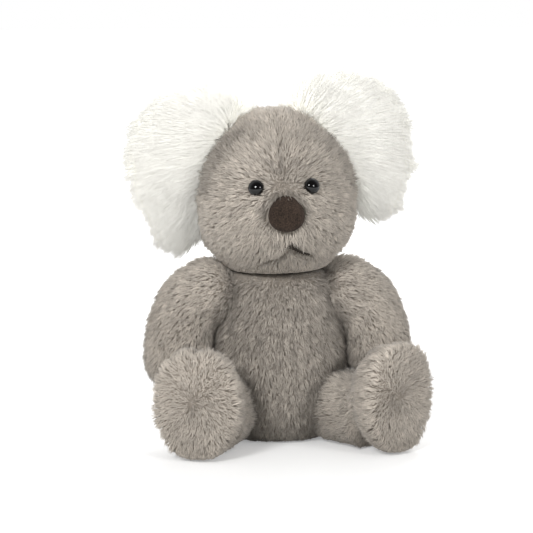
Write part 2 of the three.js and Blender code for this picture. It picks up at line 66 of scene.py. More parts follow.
def unit(vectors):
    """Each vector divided by its own length."""
    return vectors / np.maximum(np.linalg.norm(vectors, axis=-1, keepdims=True), 1e-12)


def joint_place(name):
    """A joint's point and unit axis in the toy's frame."""
    joint = next(joint for joint in frame["joints"] if joint["name"] == name)
    return np.array(joint["pos_m"]), unit(np.array(joint["axis"]))


def node_points(name):
    """All the corners of one solid."""
    vertices = frame["nodes"][name].data.vertices
    flat = np.empty(len(vertices) * 3)
    vertices.foreach_get("co", flat)
    return flat.reshape(-1, 3)


def node_extent(names, origin, basis):
    """Lowest and highest corner of some solids, measured from an origin along the rows of a basis."""
    local = np.concatenate([node_points(name) - origin for name in names]) @ basis.T
    return local.min(axis=0), local.max(axis=0)


neck, neck_axis = joint_place("head_turn")
head_basis = np.array([np.cross(BACK, neck_axis), BACK, neck_axis])
head_low, head_high = node_extent(["face_panel", "head_back_panel"], neck, head_basis)
torso_low, torso_high = node_extent(["belly_panel", "back_panel"], np.zeros(3), np.eye(3))
torso_middle = (torso_low + torso_high) / 2
print("torso from", np.round(torso_low, 3), "to", np.round(torso_high, 3))
print("head above its neck from", np.round(head_low, 3), "to", np.round(head_high, 3))

# %% [markdown]
# The photograph was taken from a little to the koala's right and slightly above, with a long lens. The toy's
# middle at ground level falls on a known pixel, and the eye beads give the size of a pixel, so the camera
# follows from these few numbers.

# %% Camera
VIEW_AZIMUTH = np.radians(-8)
VIEW_ELEVATION = np.radians(8)
VIEW_DISTANCE = 1.6
PHOTO_PIXELS = 533
PIXEL = 0.65 * MM
GROUND_PIXEL = np.array([277.0, 436.0])
SENSOR = 36.0

right_hand = np.array([np.cos(VIEW_AZIMUTH), np.sin(VIEW_AZIMUTH), 0.0])
forward = np.array([-np.sin(VIEW_AZIMUTH) * np.cos(VIEW_ELEVATION),
                    np.cos(VIEW_AZIMUTH) * np.cos(VIEW_ELEVATION), -np.sin(VIEW_ELEVATION)])
offset = (GROUND_PIXEL - PHOTO_PIXELS / 2) * PIXEL
ground_point = np.array([torso_middle[0], torso_middle[1], 0.0])
target = ground_point - right_hand * offset[0] + np.cross(right_hand, forward) * offset[1]


def aimed(name, data, place, look_at):
    """An object at a place, with its -Z side turned towards another place."""
    away = unit(np.array(place) - np.array(look_at))
    across = unit(np.cross(UP, away))
    matrix = np.eye(4)
    matrix[:3, :3] = np.array([across, np.cross(away, across), away]).T
    matrix[:3, 3] = place
    obj = bpy.data.objects.new(name, data)
    obj.matrix_world = Matrix(matrix.tolist())
    bpy.context.scene.collection.objects.link(obj)
    return obj


lens = bpy.data.cameras.new("photo_camera")
lens.sensor_width = SENSOR
lens.lens = SENSOR * VIEW_DISTANCE / (PIXEL * PHOTO_PIXELS)
camera_place = target - forward * VIEW_DISTANCE
bpy.context.scene.camera = aimed("photo_camera", lens, camera_place, target)
bpy.context.scene.view_settings.view_transform = "Standard"
print("lens", round(lens.lens, 1), "mm, camera at", np.round(camera_place, 3))

# %% [markdown]
# Studio light: a small lamp at the camera's left, a weaker one at its right and a wide one behind, over a
# plain bright surround. Together they light a surface at a plain level, so a colour renders about as it is
# written. A lamp's power follows from the level wanted at its distance. The two front lamps are small, so
# each bead shows them as a sharp spark. A mirrored ray finds the surround dim in front of the toy, as the
# camera's side of a studio is, and bright behind it, so the beads stay black.

# %% Lamps and surround
SURROUND = 0.5
ROOM_SHARE = 0.15
ROOM_EDGE = 0.3
LAMPS = {
    "key": dict(place=(-0.85, -1.5, 1.0), level=0.6, size=0.4),
    "fill": dict(place=(0.95, -1.4, 0.7), level=0.26, size=0.35),
    "rear": dict(place=(0.4, 1.5, 1.2), level=0.8, size=1.4),
}
LAMP_AIM = np.array([0.0, 0.0, 0.11])


def lamp(name, place, level, size):
    """A square lamp. Its power is pi squared x distance squared x the level wanted on a facing surface."""
    data = bpy.data.lights.new(name, "AREA")
    data.size = size
    data.energy = float(np.pi**2 * np.sum((np.array(place) - LAMP_AIM) ** 2) * level)
    return aimed(name, data, place, LAMP_AIM)


for lamp_name, settings in LAMPS.items():
    print(lamp_name, "lamp:", round(lamp(lamp_name, **settings).data.energy, 1), "W")


def fill_socket(tree, socket, value):
    """Links a socket where the value is a socket too, and otherwise sets it."""
    if isinstance(value, bpy.types.NodeSocket):
        tree.links.new(value, socket)
    else:
        socket.default_value = value


def node(tree, kind, **inputs):
    """A node of a shader tree with some of its inputs set, each named or given as i and its number."""
    made = tree.nodes.new(kind)
    for key, value in inputs.items():
        fill_socket(tree, made.inputs[int(key[1:]) if key[1:].isdigit() else key.replace("_", " ")], value)
    return made


def math(tree, operation, first, second=0.0, clamp=False):
    """The result of one sum of two values."""
    made = node(tree, "ShaderNodeMath", i0=first, i1=second)
    made.operation = operation
    made.use_clamp = clamp
    return made.outputs[0]


world = bpy.data.worlds.new("surround")
world.use_nodes = True
bpy.context.scene.world = world
tree = world.node_tree
path = node(tree, "ShaderNodeLightPath")
turned = node(tree, "ShaderNodeSeparateXYZ", Vector=node(tree, "ShaderNodeTexCoord").outputs["Generated"])
behind = node(tree, "ShaderNodeMapRange", Value=turned.outputs["Y"], From_Min=-ROOM_EDGE, From_Max=ROOM_EDGE,
              To_Min=ROOM_SHARE, To_Max=1.0)
mirrored = math(tree, "MAXIMUM", path.outputs["Is Glossy Ray"], path.outputs["Is Transmission Ray"])
mirrored = math(tree, "MULTIPLY", mirrored, behind.outputs["Result"])
plain = math(tree, "MULTIPLY", path.outputs["Is Diffuse Ray"], SURROUND)
strength = math(tree, "MAXIMUM", math(tree, "MAXIMUM", path.outputs["Is Camera Ray"], mirrored), plain)
tree.nodes["Background"].inputs["Color"].default_value = (1, 1, 1, 1)
tree.links.new(strength, tree.nodes["Background"].inputs["Strength"])
print("surround:", SURROUND, "for diffuse rays and", ROOM_SHARE, "in a mirror that looks at the camera")

# %% [markdown]
# The floor is a pale sheet that keeps the toy's shadow. Seen directly it gets a small lift, so that its
# unshaded part meets the white surround without an edge.

# %% Floor
FLOOR_REACH = 6.0
FLOOR_COLOUR = (0.8, 0.8, 0.795, 1)
FLOOR_LIFT = 0.3
FLOOR_FADE = (0.3, 1.2)


def new_material(name):
    """An empty material and its Principled shader, which is already wired to the output."""
    material = bpy.data.materials.new(name)
    material.use_nodes = True
    return material, material.node_tree, material.node_tree.nodes["Principled BSDF"]


floor_mesh = bpy.data.meshes.new("floor")
corners = [(x, y, 0) for x, y in ((-1, -1), (1, -1), (1, 1), (-1, 1))]
floor_mesh.from_pydata((np.array(corners) * FLOOR_REACH).tolist(), [], [(0, 1, 2, 3)])
floor = bpy.data.objects.new("floor", floor_mesh)
bpy.context.scene.collection.objects.link(floor)
floor_material, tree, shader = new_material("pale_floor")
shader.inputs["Base Color"].default_value = FLOOR_COLOUR
shader.inputs["Roughness"].default_value = 0.9
shader.inputs["Specular IOR Level"].default_value = 0.0
shader.inputs["Emission Color"].default_value = (1, 1, 1, 1)
path = node(tree, "ShaderNodeLightPath")
seen = math(tree, "MAXIMUM", path.outputs["Is Camera Ray"], path.outputs["Is Glossy Ray"])
place = node(tree, "ShaderNodeTexCoord").outputs["Object"]
distance = node(tree, "ShaderNodeVectorMath", i0=place)
distance.operation = "LENGTH"
lift = node(tree, "ShaderNodeMapRange", Value=distance.outputs["Value"], From_Min=FLOOR_FADE[0],
            From_Max=FLOOR_FADE[1], To_Min=FLOOR_LIFT, To_Max=1.0)
tree.links.new(math(tree, "MULTIPLY", seen, lift.outputs["Result"]), shader.inputs["Emission Strength"])
floor_mesh.materials.append(floor_material)
print("floor:", 2 * FLOOR_REACH, "m wide, white from", FLOOR_FADE[1], "m away from the toy")

# %% [markdown]
# Plush is a knitted backing with a dense standing pile. The pile is what shows: each lock is painted darker
# at its root, as shade where little light reaches, and paler at its tip, and no two locks have quite the same
# tone. A lock's tone also carries painted light and shade for its place on the toy. All of this is held in a
# map of the pile's own, with the place along the lock in U and its tone in V, so one shared group can colour
# every plush of the toy.

# %% Shared effects: pile colour and backing cloth
ROOT_POWER = 0.8
PATCH_SCALE = 60.0
YARN_SHARE = 0.6


def group(name, inputs, outputs):
    """An empty shader group with named sockets, given as name: kind, and its two end nodes."""
    made = bpy.data.node_groups.new(name, "ShaderNodeTree")
    for direction, sockets in (("INPUT", inputs), ("OUTPUT", outputs)):
        for socket, kind in sockets.items():
            made.interface.new_socket(socket, in_out=direction, socket_type=f"NodeSocket{kind}")
    return made, made.nodes.new("NodeGroupInput"), made.nodes.new("NodeGroupOutput")


def mixed(tree, factor, first, second, blend="MIX"):
    """A mix of two colours."""
    made = tree.nodes.new("ShaderNodeMix")
    made.data_type = "RGBA"
    made.blend_type = blend
    for key, value in (("Factor", factor), (6, first), (7, second)):
        fill_socket(tree, made.inputs[key], value)
    return made.outputs[2]


def brightened(tree, colour, value, spread, base=1.0):
    """A colour times the sum of a base and a value times its spread."""
    gain = math(tree, "MULTIPLY_ADD", value, spread)
    gain.node.inputs[2].default_value = base
    grey = node(tree, "ShaderNodeCombineColor", i0=gain, i1=gain, i2=gain).outputs[0]
    return mixed(tree, 1.0, colour, grey, "MULTIPLY")


def make_pile_group():
    """Pile colour: root to tip colour along the lock, then lighter or darker by the lock's tone, which holds
    both its chance tone and painted light and shade.
    """
    sockets = {"Along": "Float", "Tone": "Float", "Root": "Color", "Tip": "Color", "Spread": "Float"}
    made, ends, out = group("pile_colour", sockets, {"Color": "Color"})
    rising = math(made, "POWER", ends.outputs["Along"], ROOT_POWER)
    along = mixed(made, rising, ends.outputs["Root"], ends.outputs["Tip"])
    centred = math(made, "SUBTRACT", ends.outputs["Tone"], 0.5)
    made.links.new(brightened(made, along, centred, ends.outputs["Spread"]), out.inputs["Color"])
    return made


def make_cloth_group():
    """Cloth: two noises, a fine one for the yarn and a broad one for patches, as a colour and a height."""
    made, ends, out = group("cloth_yarn", {"Color": "Color", "Yarn": "Float", "Depth": "Float"},
                            {"Color": "Color", "Height": "Float"})
    place = node(made, "ShaderNodeTexCoord").outputs["Object"]
    fine = node(made, "ShaderNodeTexNoise", Vector=place, Scale=ends.outputs["Yarn"], Detail=4.0).outputs[0]
    broad = node(made, "ShaderNodeTexNoise", Vector=place, Scale=PATCH_SCALE, Detail=2.0).outputs[0]
    both = math(made, "ADD", math(made, "MULTIPLY", fine, YARN_SHARE),
                math(made, "MULTIPLY", broad, 1 - YARN_SHARE))
    centred = math(made, "SUBTRACT", both, 0.5)
    coloured = brightened(made, ends.outputs["Color"], centred, ends.outputs["Depth"])
    made.links.new(coloured, out.inputs["Color"])
    made.links.new(fine, out.inputs["Height"])
    return made


pile_group = make_pile_group()
cloth_group = make_cloth_group()
print("shared effects:", [made.name for made in (pile_group, cloth_group)])

# %% [markdown]
# Two kinds of material use these groups. Pile takes its colour from the locks' map and scatters light softly.
# White pile also passes light on from fibre to fibre, which a small glow stands for: it is strongest on the
# palest locks, at the free edge of the ears. Cloth takes its colour and a fine bump from the yarn.

# %% Pile and cloth materials
GREY_ROOT = (0.29, 0.255, 0.215)
GREY_TIP = (0.595, 0.54, 0.475)
WHITE_ROOT = (0.86, 0.86, 0.8)
WHITE_TIP = (0.89, 0.875, 0.825)
WHITE_GLOW = 0.26
GLOW_SHARE = 0.5
GLOW_TONE = 0.6
GLOW_RISE = 3.3
PILE_ROUGHNESS = 0.85
PILE_SPECULAR = 0.06
CLOTH_ROUGHNESS = 0.95
CLOTH_SPECULAR = 0.2
YARN_HEIGHT = 0.3 * MM


def placed_group(tree, shared, **inputs):
    """A shared group placed in a material with its own values."""
    made = tree.nodes.new("ShaderNodeGroup")
    made.node_tree = shared
    for key, value in inputs.items():
        fill_socket(tree, made.inputs[key], value)
    return made


def pile_material(name, root, tip, spread, sheen, glow=0.0):
    """Pile: the shared pile colour on a soft shader with a little sheen. Half of the glow is everywhere, and
    all of it on locks of a light tone."""
    material, tree, shader = new_material(name)
    lock_map = node(tree, "ShaderNodeUVMap")
    lock_map.uv_map = "lock"
    split = node(tree, "ShaderNodeSeparateXYZ", Vector=lock_map.outputs["UV"])
    tone = split.outputs["Y"]
    made = placed_group(tree, pile_group, Along=split.outputs["X"], Tone=tone, Root=(*root, 1), Tip=(*tip, 1),
                        Spread=spread)
    colour = made.outputs["Color"]
    tree.links.new(colour, shader.inputs["Base Color"])
    if glow:
        light = math(tree, "MULTIPLY", math(tree, "SUBTRACT", tone, GLOW_TONE), GLOW_RISE, clamp=True)
        glowing = brightened(tree, colour, light, 1 - GLOW_SHARE, GLOW_SHARE)
        tree.links.new(glowing, shader.inputs["Emission Color"])
    shader.inputs["Emission Strength"].default_value = glow
    shader.inputs["Roughness"].default_value = PILE_ROUGHNESS
    shader.inputs["Specular IOR Level"].default_value = PILE_SPECULAR
    shader.inputs["Sheen Weight"].default_value = sheen
    shader.inputs["Sheen Roughness"].default_value = 0.5
    return material


def cloth_material(name, colour, yarn, depth, bump=0.3, sheen=0.0):
    """Cloth: the shared yarn colour, with the same yarn raised a little by a bump."""
    material, tree, shader = new_material(name)
    cloth = placed_group(tree, cloth_group, Color=(*colour, 1), Yarn=yarn, Depth=depth)
    raised = node(tree, "ShaderNodeBump", Strength=bump, Distance=YARN_HEIGHT, Height=cloth.outputs["Height"])
    tree.links.new(cloth.outputs["Color"], shader.inputs["Base Color"])
    tree.links.new(raised.outputs["Normal"], shader.inputs["Normal"])
    shader.inputs["Roughness"].default_value = CLOTH_ROUGHNESS
    shader.inputs["Specular IOR Level"].default_value = CLOTH_SPECULAR
    shader.inputs["Sheen Weight"].default_value = sheen
    return material


grey_pile = pile_material("grey_pile", GREY_ROOT, GREY_TIP, spread=1.0, sheen=0.15)
ear_pile = pile_material("ear_pile", WHITE_ROOT, WHITE_TIP, spread=0.3, sheen=0.2, glow=WHITE_GLOW)
# The grey backing is as dark as the locks' roots: painted shade that shows through the gaps between locks.
grey_backing = cloth_material("grey_backing", (0.3, 0.265, 0.225), yarn=900.0, depth=0.6)
white_backing = cloth_material("white_backing", (0.9, 0.89, 0.84), yarn=900.0, depth=0.3)
print("pile and cloth materials:", [made.name for made in (grey_pile, ear_pile, grey_backing, white_backing)])

# %% [markdown]
# A sewn and stuffed panel takes a smooth swelling form. Each form here is a function of two shares: how far
# along it, from one pole to the other, and how far round it. A table gives the shares of the form's sizes at
# some heights, and a curve that never overshoots joins them, so the surface has neither dents nor ripples
# between the rows.

# %% Smooth forms from tables of shares


def smooth_between(places, knots, values):
    """Cubic curve through values at knots: each inner slope is the harmonic mean of the steps beside it."""
    span = np.diff(knots)[:, None]
    step = np.diff(values, axis=0) / span
    rising = step[:-1] * step[1:] > 0
    total = np.where(rising, step[:-1] + step[1:], 1.0)
    inner = np.where(rising, 2 * step[:-1] * step[1:] / total, 0.0)
    slopes = np.vstack([step[:1], inner, step[-1:]])
    index = np.clip(np.searchsorted(knots, places, side="right") - 1, 0, len(knots) - 2)
    width = span[index]
    t = (np.asarray(places) - knots[index])[..., None] / width
    low = (2 * t**3 - 3 * t**2 + 1) * values[index] + (t**3 - 2 * t**2 + t) * width * slopes[index]
    return low + (3 * t**2 - 2 * t**3) * values[index + 1] + (t**3 - t**2) * width * slopes[index + 1]


def along_table(table, sizes, places):
    """Columns of a table at shares of its length, which is measured on its rows scaled by the given sizes."""
    table = np.array(table, float)
    steps = np.linalg.norm(np.diff(table * sizes, axis=0), axis=1)
    knots = np.concatenate([[0], np.cumsum(steps)]) / steps.sum()
    return np.moveaxis(smooth_between(places, knots, table), -1, 0)


def grid_of(form, rows, columns, start=0.0, end=1.0):
    """Points of a form on a grid: rows go along it and columns round it, the last column on the first."""
    along, around = np.linspace(start, end, rows + 1), np.linspace(0, 1, columns + 1)
    return form(*np.meshgrid(around, along))


def grid_normals(points):
    """Outward directions: the step round the form crossed with the step along it, averaged at the poles."""
    ring = points[:, :-1]
    turn = np.roll(ring, -1, axis=1) - np.roll(ring, 1, axis=1)
    normals = np.cross(turn, np.gradient(ring, axis=0))
    for end, inner in ((0, 1), (-1, -2)):
        if np.ptp(ring[end], axis=0).max() < 1e-9:
            normals[end] = unit(normals[inner]).mean(axis=0)
    normals = unit(normals)
    return np.concatenate([normals, normals[:, :1]], axis=1)


def eased(values, low, high):
    """0 below low, 1 above high, and a smooth step between."""
    t = np.clip((values - low) / (high - low), 0, 1)
    return t * t * (3 - 2 * t)


# %% [markdown]
# The pile stands about five millimetres above its backing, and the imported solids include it, so each skin
# lies that far inside the form. The pile is pressed thin where the toy sits, and the skins meet at the neck.
# A seam draws its panels in by a couple of millimetres, which leaves the soft groove seen on a real toy.

# %% Pile height and seams
PILE = 5.0 * MM
PRESSED_PILE = 1.5 * MM
PRESSED_RISE = (2 * MM, 12 * MM)
PRESSED_FACING = (0.35, 0.9)
SEAM_DEPTH = 1.6 * MM
SEAM_WIDTH = 4.0 * MM
GROUND_GAP = 0.3 * MM


def pressed(points, normals):
    """How far the ground presses the pile, from 0 to 1: fully on low places that face down."""
    return (1 - eased(points[..., 2], *PRESSED_RISE)) * eased(-normals[..., 2], *PRESSED_FACING)


def seam_groove(points, seams):
    """Depth of the groove at the seams: a bell over the distance from each seam's plane (point, normal)."""
    depth = np.zeros(points.shape[:-1])
    for origin, normal in seams:
        distance = (points - origin) @ normal
        depth = np.maximum(depth, SEAM_DEPTH * np.exp(-((distance / SEAM_WIDTH) ** 2)))
    return depth


def dressed(points, seams=(), sewn=None):
    """Skin and pile height under a form: the skin lies inside it by the pile and by the seams' groove."""
    normals = grid_normals(points)
    press = pressed(points, normals)
    pile = PILE + (PRESSED_PILE - PILE) * press
    if sewn is not None:
        pile = pile * (1 - sewn(points))
    depth = pile + seam_groove(points, seams) * (1 - press)
    return dict(outer=points, normals=normals, pile=pile, skin=points - normals * depth[..., None])


print("pile height:", PILE, "m, pressed to", PRESSED_PILE, "m, with seams", SEAM_DEPTH, "m deep")

# %% [markdown]
# The torso is an egg, widest a quarter of the way up, flat under the seat and narrow at the neck.

# %% Torso form
TORSO_SHARES = [
    [0, 0, 0], [0, 0.56, 0.5], [0.03, 0.72, 0.68], [0.08, 0.85, 0.82], [0.16, 0.95, 0.94], [0.265, 1, 1],
    [0.4, 1, 1], [0.53, 0.97, 0.97], [0.726, 0.9, 0.9], [0.91, 0.79, 0.79], [0.973, 0.71, 0.69],
    [1, 0.6, 0.55], [1, 0, 0],
]
torso_size = torso_high - torso_low
torso_half = torso_size / 2
NECK_FADE = (1 * MM, 7 * MM)
NECK_SHARE = 0.85


def torso_form(around, along):
    """Ellipses whose half width and half depth follow the table with height."""
    rise, wide, deep = along_table(TORSO_SHARES, [torso_size[2], torso_half[0], torso_half[1]], along)
    angle = 2 * np.pi * around
    x = torso_middle[0] + torso_half[0] * wide * np.cos(angle)
    y = torso_middle[1] + torso_half[1] * deep * np.sin(angle)
    return np.stack([x, y, GROUND_GAP + (torso_size[2] - GROUND_GAP) * rise], axis=-1)


def sewn_at_neck(points):
    """1 at the neck seam, where skin meets skin, and 0 from a few millimetres away."""
    height = np.abs((points - neck) @ neck_axis)
    return NECK_SHARE * (1 - eased(height, *NECK_FADE))


torso_seam = [(torso_middle, BACK)]
torso = dressed(grid_of(torso_form, 110, 168), torso_seam, sewn_at_neck)
print("torso form:", torso["outer"].shape)

# %% [markdown]
# The head is worked out in its own frame, upright on the neck. The face reaches further from the neck axis
# than the nape, the cheeks are the widest place, and a round hump carries the muzzle. The seam between the
# face panel and the back panel lies a little behind the neck axis.

# %% Head form
HEAD_SHARES = [
    [0, 0, 0, 0], [0, 0.55, 0.52, 0.54], [0.043, 0.7, 0.7, 0.7], [0.108, 0.83, 0.83, 0.83],
    [0.2, 0.94, 0.93, 0.94], [0.32, 1, 0.99, 0.985], [0.43, 1.01, 1, 1], [0.54, 0.995, 0.965, 0.985],
    [0.65, 0.935, 0.89, 0.93], [0.76, 0.815, 0.775, 0.83], [0.834, 0.67, 0.66, 0.72],
    [0.89, 0.55, 0.555, 0.61], [0.935, 0.445, 0.455, 0.5], [0.97, 0.33, 0.34, 0.37],
    [0.992, 0.2, 0.21, 0.22], [1, 0, 0, 0],
]
HEAD_HEIGHT = head_high[2]
CHEEK_FULLNESS = 1.3 * MM
HEAD_HALF = (head_high[0] - head_low[0]) / 2 + CHEEK_FULLNESS
FACE_REACH = 57 * MM
NAPE_REACH = head_high[1]
HEAD_SEAM_SETBACK = 8 * MM
MUZZLE_REACH = 6 * MM
MUZZLE_SPREAD = 19 * MM
MUZZLE_RISE = 36 * MM


def from_head(local):
    """Places in the head's frame as places in the toy's frame."""
    return neck + local @ head_basis


def to_head(points):
    """Places in the toy's frame as places in the head's frame."""
    return (points - neck) @ head_basis.T


def muzzle(x, y, z):
    """How far the muzzle stands out: a bell over the distance from its middle, in front of the neck axis."""
    distance = np.hypot(x, z - MUZZLE_RISE) / MUZZLE_SPREAD
    return MUZZLE_REACH * np.exp(-0.5 * distance**2) * np.clip(-y / MUZZLE_SPREAD, 0, 1)


def head_local(around, along):
    """Half ellipses in front of and behind the neck axis that share their width, plus the muzzle."""
    rise, wide, face, nape = along_table(HEAD_SHARES, [HEAD_HEIGHT, HEAD_HALF, FACE_REACH, NAPE_REACH], along)
    angle = 2 * np.pi * around
    x = HEAD_HALF * wide * np.cos(angle)
    y = np.where(np.sin(angle) < 0, FACE_REACH * face, NAPE_REACH * nape) * np.sin(angle)
    z = HEAD_HEIGHT * rise
    return np.stack([x, y - muzzle(x, y, z), z], axis=-1)


def head_form(around, along):
    """The head in the toy's frame."""
    return from_head(head_local(around, along))


head_seam = [(from_head(np.array([0, HEAD_SEAM_SETBACK, 0])), BACK)]
head = dressed(grid_of(head_form, 150, 220), head_seam, sewn_at_neck)
print("head form:", head["outer"].shape)

# %% [markdown]
# A tube along a curve with round ends makes an arm. It hangs from the shoulder, where it is thickest, bows
# outwards and comes forward to the paw. Where it bends, the pile's depth would fold a skin that is moved in
# along its normals, so the arm's skin is the same tube made thinner.

# %% Arm form
ARM_LINE_SHARES = [[0, 0], [0.082, 0.044], [0.154, 0.132], [0.203, 0.258], [0.228, 0.423]]
ARM_GIRTH_SHARES = [1.275, 1.25, 1.215, 1.19, 1.18]
ARM_CAP_SHARE = 0.2
ARM_THICKNESS = 40 * MM
ARM_LENGTH = 91 * MM
PAW_FORWARD = 16 * MM
ARM_SHIFT = {"right": np.array([5.2, 0, -3.5]) * MM, "left": np.array([5.8, 0, -3.5]) * MM}
LINE_STEP = 0.01


def line_direction(line, places):
    """Unit direction of a line at shares of its length: from the place a step before to the one after."""
    return unit(line(np.clip(places + LINE_STEP, 0, 1)) - line(np.clip(places - LINE_STEP, 0, 1)))


def circle(angle, across, other):
    """Unit vectors at an angle from the first of two directions that cross squarely: its cosine and sine."""
    return np.cos(angle)[..., None] * across + np.sin(angle)[..., None] * other


def arm_curve(side, places):
    """Centre line of an arm and the half thickness along it."""
    shoulder, _ = joint_place(f"{side}_arm_raise")
    out, down = np.array(ARM_LINE_SHARES).T
    table = np.stack([SIDES[side] * out * ARM_LENGTH, -down * PAW_FORWARD, -down * ARM_LENGTH,
                      np.array(ARM_GIRTH_SHARES) * ARM_THICKNESS / 2], axis=1)
    knots = np.linspace(0, 1, len(table))
    found = smooth_between(places, knots, table)
    return shoulder + ARM_SHIFT[side] * [SIDES[side], 1, 1] + found[..., :3], found[..., 3]


def arm_form(side, inset=0.0):
    """The form of one arm: rings across the curve and a quarter circle at each end. An inset makes it
    thinner, which keeps the inner side of the bend smooth."""

    def form(around, along):
        place = np.clip((along - ARM_CAP_SHARE) / (1 - 2 * ARM_CAP_SHARE), 0, 1)
        centre, half = arm_curve(side, place)
        half = half - inset
        tangent = line_direction(lambda places: arm_curve(side, places)[0], place)
        across = unit(np.cross(BACK, tangent))
        other = np.cross(tangent, across)
        start = np.clip(along / ARM_CAP_SHARE, 0, 1) * np.pi / 2
        end = np.clip((1 - along) / ARM_CAP_SHARE, 0, 1) * np.pi / 2
        reach = half * np.sin(start) * np.sin(end)
        slide = half * (np.cos(end) - np.cos(start))
        spoke = circle(2 * np.pi * around, across, other)
        return centre + tangent * slide[..., None] + spoke * reach[..., None]

    return form


arms = {}
for side in SIDES:
    arms[side] = dressed(grid_of(arm_form(side), 96, 110))
    arms[side]["skin"] = grid_of(arm_form(side, PILE), 96, 110)
    arms[side]["normals"] = grid_normals(arms[side]["skin"])
print("arm forms:", arms["left"]["outer"].shape)

# %% [markdown]
# A leg is a round thigh that ends in a tall, blunt foot. Its rows lie square to the leg's own direction, and
# each has a half width, a lowest and a highest place. The feet point a few degrees further out than the
# hinges at the hips. The sole is the last stretch of the same surface, from a seam inside the rim to the
# middle of the foot.

# %% Leg form
LEG_THICKNESS = 49 * MM
LEG_LENGTH = 62 * MM
FOOT_WIDTH = 60 * MM
FOOT_HEIGHT = 72 * MM
FOOT_DEPTH = 34 * MM
SOLE_BULGE = 1.5 * MM
LEG_SHARES = [[0.2, 1], [0.6, 0.99], [1, 1.02]]
FOOT_SHARES = [[0.2, 0.86, 0.8], [0.44, 0.97, 0.95], [0.7, 1, 1], [0.88, 0.94, 0.96], [0.97, 0.8, 0.84]]
SOLE_SHARES = [[1, 0.5, 0.52], [1, 0, 0]]
PLUMP_SHARE = 0.88
BALL_STEPS = 6
LEG_SPLAY = {"right": np.radians(3.7), "left": np.radians(6.5)}


def leg_rows():
    """Rows of the leg, the ball of the hip first: place along it, half width, lowest and highest place."""
    half = LEG_THICKNESS / 2
    ankle = LEG_LENGTH - FOOT_DEPTH
    rows = []
    for step in range(BALL_STEPS + 1):
        angle = step / BALL_STEPS * np.pi / 2
        rows.append([-half * np.cos(angle), half * np.sin(angle), half * (1 - np.sin(angle)),
                     half * (1 + np.sin(angle))])
    for place, girth in LEG_SHARES:
        rows.append([ankle * place, half * girth, 0, 2 * half * girth])
    foot = FOOT_SHARES + [[place, wide, tall] for place, wide, tall in SOLE_SHARES]
    for place, wide, tall in foot:
        bulge = SOLE_BULGE * (place >= 1) * (1 - wide)
        rows.append([ankle + FOOT_DEPTH * place + bulge, FOOT_WIDTH / 2 * wide, FOOT_HEIGHT / 2 * (1 - tall),
                     FOOT_HEIGHT / 2 * (1 + tall)])
    return np.array(rows)


def plump(values):
    """Fills out the corners of an oval: the size of each value to a power below one, with its sign."""
    return np.sign(values) * np.abs(values) ** PLUMP_SHARE


def leg_directions(side):
    """Hip point and the directions along and across the leg, turned a little outwards from its hinge."""
    hip, axis = joint_place(f"{side}_leg_swing")
    turn = LEG_SPLAY[side] * SIDES[side]
    along = np.cross(axis, UP) * np.cos(turn) + unit(axis) * np.sin(turn)
    return hip, along, np.cross(UP, along)


def leg_form(side):
    """The form of one leg and foot: filled-out ovals square to the leg."""
    hip, direction, across = leg_directions(side)
    rows = leg_rows()

    def form(around, along):
        place, half, low, high = along_table(rows, np.ones(4), along)
        angle = 2 * np.pi * around
        points = hip + direction * place[..., None] + across * (half * plump(np.cos(angle)))[..., None]
        points[..., 2] = GROUND_GAP + (high + low) / 2 + (high - low) / 2 * plump(np.sin(angle))
        return points

    return form


leg_steps = np.linalg.norm(np.diff(leg_rows(), axis=0), axis=1)
SOLE_START = float(leg_steps[:-2].sum() / leg_steps.sum())
legs = {}
soles = {}
for side in SIDES:
    hip, direction, across = leg_directions(side)
    whole = leg_form(side)
    legs[side] = dressed(grid_of(whole, 110, 150, 0, SOLE_START), [(hip, across)])
    soles[side] = dressed(grid_of(whole, 34, 150, SOLE_START, 1))
print("leg forms:", legs["left"]["outer"].shape, "the sole starts at share", round(SOLE_START, 3))

# %% [markdown]
# An ear is two layers of long pile sewn together round the edge. Under the pile lies a thin pad: its outline
# is the ear's outline drawn in towards its middle by the length of the pile, less where it is sewn to the
# head, and both faces swell a little. The right ear is wider and its lobe hangs lower.

# %% Ear form
EAR_SHARES = [
    [0, 0.57], [0.1, 0.65], [0.3, 0.7], [0.54, 0.702], [0.73, 0.64], [0.9, 0.51], [0.985, 0.36], [0.99, 0.18],
    [0.955, 0.01], [0.86, -0.12], [0.77, -0.23], [0.635, -0.29], [0.5, -0.25], [0.42, -0.15], [0.37, 0.03],
    [0.22, 0.25], [0.07, 0.46],
]
EAR_PIVOT_SHARE = np.array([0.25, 0.25])
EAR_WIDTH = {"right": 82 * MM, "left": 77.5 * MM}
EAR_HEIGHT = 105 * MM
EAR_ROOT_RISE = {"right": 48 * MM, "left": 51 * MM}
EAR_ROOT_INSET = 14 * MM
EAR_LEAN = np.radians(6)
EAR_PILE = 12.5 * MM
EAR_PAD_HALF = 10 * MM
EAR_DROP = {"right": 7 * MM, "left": 1 * MM}
EAR_LOBE_SHARES = (0.1, 0.3)
EAR_ROOT = np.array([8, 64]) * MM
EAR_SEWN_SHARES = (0.3, 0.8)
EAR_SEWN_SHARE = 0.8
EAR_LEAST_SHARE = 0.3
EAR_EDGE_POWER = 0.7


def closed_curve(points, places):
    """Smooth closed curve through points: each slope is half the step between the two neighbours."""
    count = len(points)
    scaled = np.asarray(places) % 1.0 * count
    index = scaled.astype(int) % count
    t = (scaled - np.floor(scaled))[..., None]
    slopes = (np.roll(points, -1, axis=0) - np.roll(points, 1, axis=0)) / 2
    start, end = points[index], points[(index + 1) % count]
    low = (2 * t**3 - 3 * t**2 + 1) * start + (t**3 - 2 * t**2 + t) * slopes[index]
    return low + (3 * t**2 - 2 * t**3) * end + (t**3 - t**2) * slopes[(index + 1) % count]


